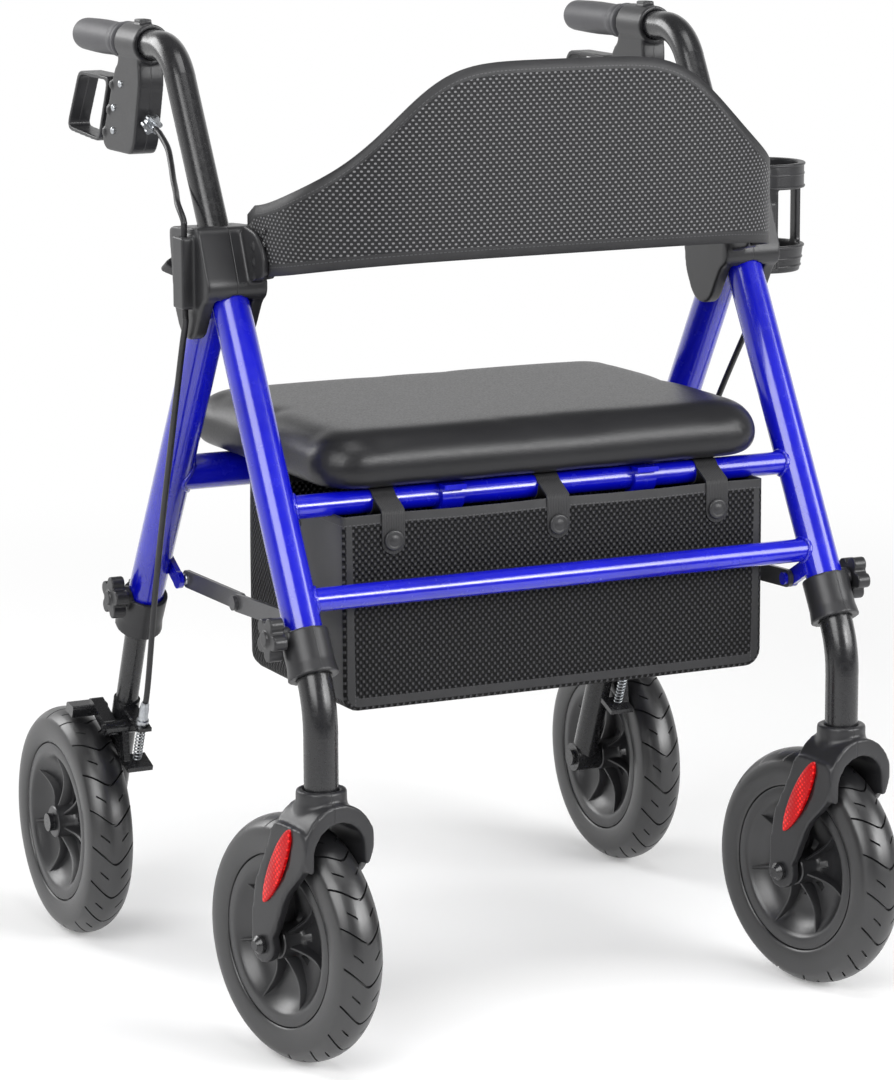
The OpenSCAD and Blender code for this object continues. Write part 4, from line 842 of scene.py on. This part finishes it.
def block(size, centre):
    """A box as a new bmesh."""
    form = bmesh.new()
    bmesh.ops.create_cube(form, size=1.0)
    bmesh.ops.scale(form, verts=form.verts, vec=size)
    bmesh.ops.translate(form, verts=form.verts, vec=centre)
    return form


def round_off(form, edges, radius, segments):
    """Rounds some edges of a form."""
    bmesh.ops.bevel(form, geom=edges, offset=radius, affect="EDGES", segments=segments, profile=0.5,
                    material=-1)


def at_rim(edge):
    """Whether an edge of the bag lies along its open top."""
    return all(v.co.z > bag_rim - touching for v in edge.verts)


form = block((2 * bag_half, bag_back - bag_front, bag_rim - bag_base),
             (0, (bag_back + bag_front) / 2, (bag_rim + bag_base) / 2))
floor_edges = [e for e in form.edges if all(v.co.z < bag_base + touching for v in e.verts)
               and abs(e.verts[0].co.x - e.verts[1].co.x) < touching]
round_off(form, floor_edges, floor_round, 5)
rear_edges = [e for e in form.edges if all(v.co.y > bag_back - touching for v in e.verts) and not at_rim(e)]
round_off(form, rear_edges, rear_round, 5)
front_face = min(form.faces, key=lambda f: f.calc_center_median().y)
round_off(form, [e for e in front_face.edges if not at_rim(e)], front_round, 3)
bmesh.ops.delete(form, geom=[f for f in form.faces if f.normal.z > 0.9], context="FACES")
front_face = min(form.faces, key=lambda f: f.calc_center_median().y)
bound = bmesh.ops.inset_individual(form, faces=[front_face], thickness=front_tape, depth=0.0)
for face in bound["faces"]:
    face.material_index = 1
for place_cut, way_cut in (((0, 0, bag_rim - rim_tape), (0, 0, 1)), ((0, gusset_end, 0), (0, 1, 0))):
    bmesh.ops.bisect_plane(form, geom=form.verts[:] + form.edges[:] + form.faces[:],
                           plane_co=place_cut, plane_no=way_cut)
for face in form.faces:
    if face.calc_center_median().z > bag_rim - rim_tape:
        face.material_index = 1


def boxed(v, face):
    """Flat place of a point on the bag, by the side that its face looks to; on a tape, along it and inwards."""
    n = face.normal
    if face.material_index == 1:
        middle = face.calc_center_median()
        if middle.z > bag_rim - rim_tape:
            return v.co.x if abs(n.y) > abs(n.x) else v.co.y, bag_rim - v.co.z
        if abs(middle.x) > bag_half - front_round - front_tape - 0.5 * MM:
            return v.co.z, bag_half - front_round - abs(v.co.x)
        return v.co.x, v.co.z - bag_base - front_round
    if abs(n.y) >= max(abs(n.x), abs(n.z)):
        return v.co.x, v.co.z
    if abs(n.x) >= abs(n.z):
        return v.co.y, v.co.z
    return v.co.x, v.co.y


form.normal_update()
for face in form.faces:
    if not face.material_index and abs(face.normal.x) > 0.9 and face.calc_center_median().y < gusset_end:
        face.material_index = 2
uv_metres(form, boxed)
bmesh.ops.subdivide_edges(form, edges=form.edges[:], cuts=7, use_grid_fill=True)
belly = Vector((3, 5, 7)) * MM
middle = Vector((0, (bag_front + bag_back) / 2, (bag_base + bag_rim) / 2))
reach = Vector((bag_half, (bag_back - bag_front) / 2, (bag_rim - bag_base) / 2))
for v in form.verts:
    place_in = [(v.co[i] - middle[i]) / reach[i] for i in range(3)]
    wide, deep, tall = (max(0.0, 1 - p * p) for p in place_in)
    v.co.x += math.copysign(belly.x * deep * tall, place_in[0])
    v.co.y += math.copysign(belly.y * wide * tall, place_in[1])
    v.co.z -= belly.z * wide * deep
    v.co.z -= rim_droop * math.sin(math.pi * v.co.x / strap_x) ** 2 * max(0.0, place_in[2])
bag = shaped(form, "bag_box", (bag_cloth, binding_tape, gusset_cloth))
bag.data.set_sharp_from_angle(angle=math.radians(50))
wall = bag.modifiers.new("cloth", "SOLIDIFY")
wall.thickness = bag_wall
wall.offset = -1.0
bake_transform(bag)
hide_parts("bag")

# Bag straps
# Plain polypropylene webbing: three tabs loop over the front bar and press shut on the bag with snaps.
# Two more loop round the rear bar.
webbing, tree, shader, place = surface("black_webbing")
warp_mm = 1.7
along, across = flat_place(tree, place)
ribbed = maths(tree, "SINE", maths(tree, "MULTIPLY", across, 2000 * math.pi / warp_mm))
# The webbing's own colour is black. It is darker in the grooves between the ribs and lighter on them, in step with
# their relief: painted shade in the grooves.
rib_groove_shade = add(tree, "ShaderNodeMapRange", {}, {"Value": ribbed, "From Min": -1.0, "To Min": 0.25})
yarn = add(tree, "ShaderNodeMix", {"data_type": "RGBA"},
           {"Factor": rib_groove_shade.outputs["Result"], 6: linear("#121213"), 7: linear("#28282a")})
rise = add(tree, "ShaderNodeBump", {}, {"Height": ribbed, "Strength": 0.5, "Distance": 0.25 * MM})
tree.links.new(yarn.outputs[2], shader.inputs["Base Color"])
tree.links.new(rise.outputs["Normal"], shader.inputs["Normal"])
shader.inputs["Roughness"].default_value = 0.6

strap_w = 23.0 * MM
strap_t = 1.8 * MM
front_loop = 12.3 * MM
rear_loop = 18.4 * MM


def strap(name, x, path, round_end):
    """A strip of webbing along a path in a plane across x, with its first end cut round if asked."""
    form = bmesh.new()
    run = 0.0
    rows = []
    runs = {}
    for k, p in enumerate(path):
        if k:
            run += (p - path[k - 1]).length
        half_w = strap_w / 2
        if round_end and run < half_w:
            half_w = math.sqrt(max(half_w ** 2 - (half_w - run) ** 2, (2 * MM) ** 2))
        row = [form.verts.new((x + side * half_w, p.y, p.z)) for side in (-1, 1)]
        for v in row:
            runs[v] = run
        rows.append(row)
    for a, b in zip(rows, rows[1:]):
        form.faces.new((a[0], a[1], b[1], b[0]))
    bmesh.ops.recalc_face_normals(form, faces=form.faces)
    uv_metres(form, lambda v, face: (runs[v], v.co.x))
    bmesh.ops.solidify(form, geom=form.faces[:], thickness=strap_t)
    made = shaped(form, name, [webbing])
    made.data.set_sharp_from_angle(angle=math.radians(50))
    return made


def loop_points(centre, radius, first, last, count):
    """Points round a bar, by angles in degrees from the rear."""
    turns = [math.radians(first + (last - first) * k / count) for k in range(count + 1)]
    return [centre + radius * Vector((0, math.cos(t), math.sin(t))) for t in turns]


tab_y = bag_front - strap_t
tab_foot = bag_rim - 38 * MM
tab = [Vector((0, tab_y, tab_foot + d * MM)) for d in (0, 1, 2.5, 5, 8, 12, 24, 36)]
tab += [Vector((0, tab_y + 1.5 * MM, bag_rim + 3 * MM))]
tab += loop_points(front_bar * MM, front_loop, 150, -190, 26)
snap_mm = (
    (9.5, 0.0), (9.5, 1.0), (8.8, 1.8), (7.0, 2.1), (6.2, 1.7), (5.0, 1.7), (3.6, 2.2), (1.5, 2.5), (0.0, 2.5),
)
for i, x in enumerate((-strap_x, 0.0, strap_x)):
    made = strap(f"front_strap_{i}", x, tab, True)
    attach(made, "front_assembly")
    form = bmesh.new()
    centre = Vector((x, tab_y - 0.9 * MM, bag_rim - 25 * MM))
    spun(form, [centre + Vector((r * MM, -h * MM, 0)) for r, h in snap_mm], (0, 1, 0), centre, 32)
    piece_from(form, f"strap_snap_{i}", [graphite_nylon], "front_assembly")
tail = [Vector((0, bag_back + 1 * MM, bag_rim - d * MM)) for d in (12, 3)]
tail += loop_points(rear_bar * MM, rear_loop, 185, -170, 30)
for i, x in enumerate((-strap_x, strap_x)):
    made = strap(f"rear_strap_{i}", x, tail, False)
    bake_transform(made)

# Seat pad
# Foam in a black vinyl-faced cover pulled down over the edge of the moulded board and stapled under it.
# The top is crowned and the edges are full and round. Of the board only a plate shows, inside the cover's hem.
seat_low, seat_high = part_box("seat_cushion")
board_low, board_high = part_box("seat_board")
black_vinyl, tree, shader, place = surface("black_vinyl_cover")
coat(tree, shader, place.outputs["Object"], "#1a1a1c", "#202022", 120, 1.8, 0.2, 0.36)
shader.inputs["Specular IOR Level"].default_value = 0.36
room = 5 * MM
pad_top = seat_high.z
pad_foot = board_low.z + 0.6 * MM
corner_round = 44 * MM
top_round = 27 * MM
foot_round = 17 * MM


def uprights(form):
    """The upright edges of a block."""
    return [e for e in form.edges if abs(e.verts[0].co.z - e.verts[1].co.z) > 1 * MM]


form = block((seat_high.x - seat_low.x + room, seat_high.y - seat_low.y - room, pad_top - pad_foot),
             (0, (seat_low.y + seat_high.y) / 2, (pad_top + pad_foot) / 2))
round_off(form, uprights(form), corner_round, 8)
top_edges = [e for e in form.edges if all(v.co.z > pad_top - 1 * MM for v in e.verts)]
round_off(form, top_edges, top_round, 7)
low_edges = [e for e in form.edges if all(v.co.z < pad_foot + 1 * MM for v in e.verts)]
round_off(form, low_edges, foot_round, 5)
pad = shaped(form, "seat_pad", [])
cells = pad.modifiers.new("cells", "REMESH")
cells.mode = "VOXEL"
cells.voxel_size = 5 * MM
pad.data = baked(pad)
pad.modifiers.clear()
before = [v.co.copy() for v in pad.data.vertices]
cloth = pad.modifiers.new("stuffing", "CLOTH")
cloth.settings.use_pressure = True
cloth.settings.uniform_pressure_force = 4.0
cloth.settings.effector_weights.gravity = 0.0
last_step = 20
cloth.point_cache.frame_start = 1
cloth.point_cache.frame_end = last_step
for step in range(1, last_step + 1):
    scene.frame_set(step)
swollen = baked(pad)
pad.modifiers.clear()
scene.frame_set(1)
cap = 6 * MM
for v, start in zip(swollen.vertices, before):
    move = v.co - start
    if move.length > cap:
        move *= cap / move.length
    v.co = start + move
    v.co.z = max(v.co.z, pad_foot)
pad.data = swollen
pad.data.shade_smooth()
pad.data.materials.clear()
pad.data.materials.append(black_vinyl)
soft = pad.modifiers.new("soft", "SMOOTH")
soft.factor = 0.5
soft.iterations = 16
finer = pad.modifiers.new("finer", "SUBSURF")
finer.levels = 1
finer.render_levels = 1
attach(pad, "seat")
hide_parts("seat_cushion")
hem = 18 * MM
plate_round = 24 * MM
form = block(board_high - board_low - 2 * Vector((hem, hem, 0)), (board_low + board_high) / 2)
round_off(form, uprights(form), plate_round, 6)
plate = piece_from(form, "seat_board_plate", [graphite_nylon], "seat")
plate.data.set_sharp_from_angle(angle=math.radians(40))
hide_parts("seat_board")

# Brake cables
# A steel wire in a black jacket runs from the adjuster under each grip through the guide on the housing
# and down to a stop on the rear leg. It is clipped at both ends.
cable_d = 6.0 * MM
jacket, tree, shader, place = surface("black_cable_jacket")
coat(tree, shader, place.outputs["Object"], "#1c1c1e", "#262628", 15, 1.2, 0.06, 0.4)
foot_axle = Vector((leg_x, 239.4, wheel_r))
foot_lean = math.radians(21.837)
foot_up = Vector((0, -math.sin(foot_lean), math.cos(foot_lean)))
foot_out = Vector((0, -math.cos(foot_lean), -math.sin(foot_lean)))
pull_out = 43.0
stop_up = 157.0
barrel_foot = Vector((leg_x, 106.0, 826.0))
barrel_length = 24.3
adjust_tilt = math.radians(110)
lead = Vector((0, -math.sin(adjust_tilt), math.cos(adjust_tilt)))
barrel_end = barrel_foot + barrel_length * lead
cable_top = foot_axle + stop_up * foot_up + pull_out * foot_out
cable_mm = [
    barrel_end, barrel_end + 5 * lead, barrel_end + 10 * lead,
    (272, 50, 803), (277, 30, 790), (284, 8, 778), (293, -20, 769), (303, -48, 762),
    (305.5, -67.6, 748.5), (305.5, -67.6, 736.5), (305.5, -67.6, 666.5), (305.5, -67.6, 654.5),
    (303.5, -51.6, 622.5), (293.5, 2.4, 528.5), (281.5, 72.4, 393.5), cable_top + 30 * foot_up, cable_top,
]


def threaded(points, first, last, steps):
    """Points of a smooth curve through a list, from one of its points to another."""
    ends = [points[0]] + list(points) + [points[-1]]
    path = []
    for i in range(first, last):
        a, b, c, d = (Vector(p) for p in ends[i:i + 4])
        for k in range(steps):
            t = k / steps
            path.append(0.5 * (2 * b + (c - a) * t + (2 * a - 5 * b + 4 * c - d) * t * t
                               + (3 * b - a - 3 * c + d) * t ** 3))
    return path + [Vector(points[last])]


for s, sign in SIDES.items():
    route = [Vector((sign * p[0], p[1], p[2])) * MM for p in cable_mm]
    for name, first, last, upper, lower, start, end in (
        ("top", 0, 9, f"handle_set_{s}", "front_assembly", 2, 8),
        ("middle", 9, 14, "front_assembly", "rear_assembly", 11, 13),
        ("low", 14, 16, "rear_assembly", f"rear_leg_{s}", 14, 15),
    ):
        run = hose(f"cable_{s}_{name}", threaded(route, first, last, 10), cable_d, jacket)
        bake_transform(run)
        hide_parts(f"cable_{s}")

# Brake ferrules and return springs
# A turned steel ferrule ends each cable jacket on the stop of the rear leg.
# Below it a coil of spring wire pushes the shoe arm off the tyre.
ferrule_mm = (
    (3.0, 140.3), (6.3, 140.3), (6.3, 145.0), (4.8, 145.6), (4.8, 158.0), (4.3, 160.5), (4.3, 163.0),
    (3.1, 165.3),
)
wire_d = 1.4
coil_r = 4.0
coil_turns = 10
coil_steps = 20
wire_sides = 8
spring_lo = 96.3
spring_hi = 135.7
for s, sign in SIDES.items():
    axle = Vector((sign * foot_axle.x, foot_axle.y, foot_axle.z)) * MM
    line = axle + pull_out * MM * foot_out
    side = Vector((1, 0, 0))
    form = bmesh.new()
    spun(form, [line + s_mm * MM * foot_up + r * MM * side for r, s_mm in ferrule_mm], foot_up, line, 24)
    ferrule = piece_from(form, f"ferrule_{s}", [zinc_steel], f"rear_leg_{s}")
    ferrule.data.set_sharp_from_angle(angle=math.radians(40))
    form = bmesh.new()
    start = line + (spring_lo + wire_d / 2) * MM * foot_up + coil_r * MM * side
    wire = []
    for k in range(wire_sides):
        a = 2 * math.pi * k / wire_sides
        wire.append(form.verts.new(start + wire_d / 2 * MM * (math.cos(a) * side + math.sin(a) * foot_up)))
    edges = [form.edges.new((wire[k], wire[(k + 1) % wire_sides])) for k in range(wire_sides)]
    count = coil_turns * coil_steps
    rise = (spring_hi - spring_lo - wire_d) * MM / count
    bmesh.ops.spin(form, geom=wire + edges, cent=line, axis=foot_up, dvec=rise * foot_up,
                   angle=2 * math.pi * coil_turns, steps=count, use_merge=False)
    bmesh.ops.holes_fill(form, edges=[e for e in form.edges if e.is_boundary], sides=wire_sides)
    bmesh.ops.recalc_face_normals(form, faces=form.faces)
    coil = piece_from(form, f"spring_{s}_coil", [zinc_steel], f"rear_leg_{s}")
    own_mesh(coil)
    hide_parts(f"spring_{s}")
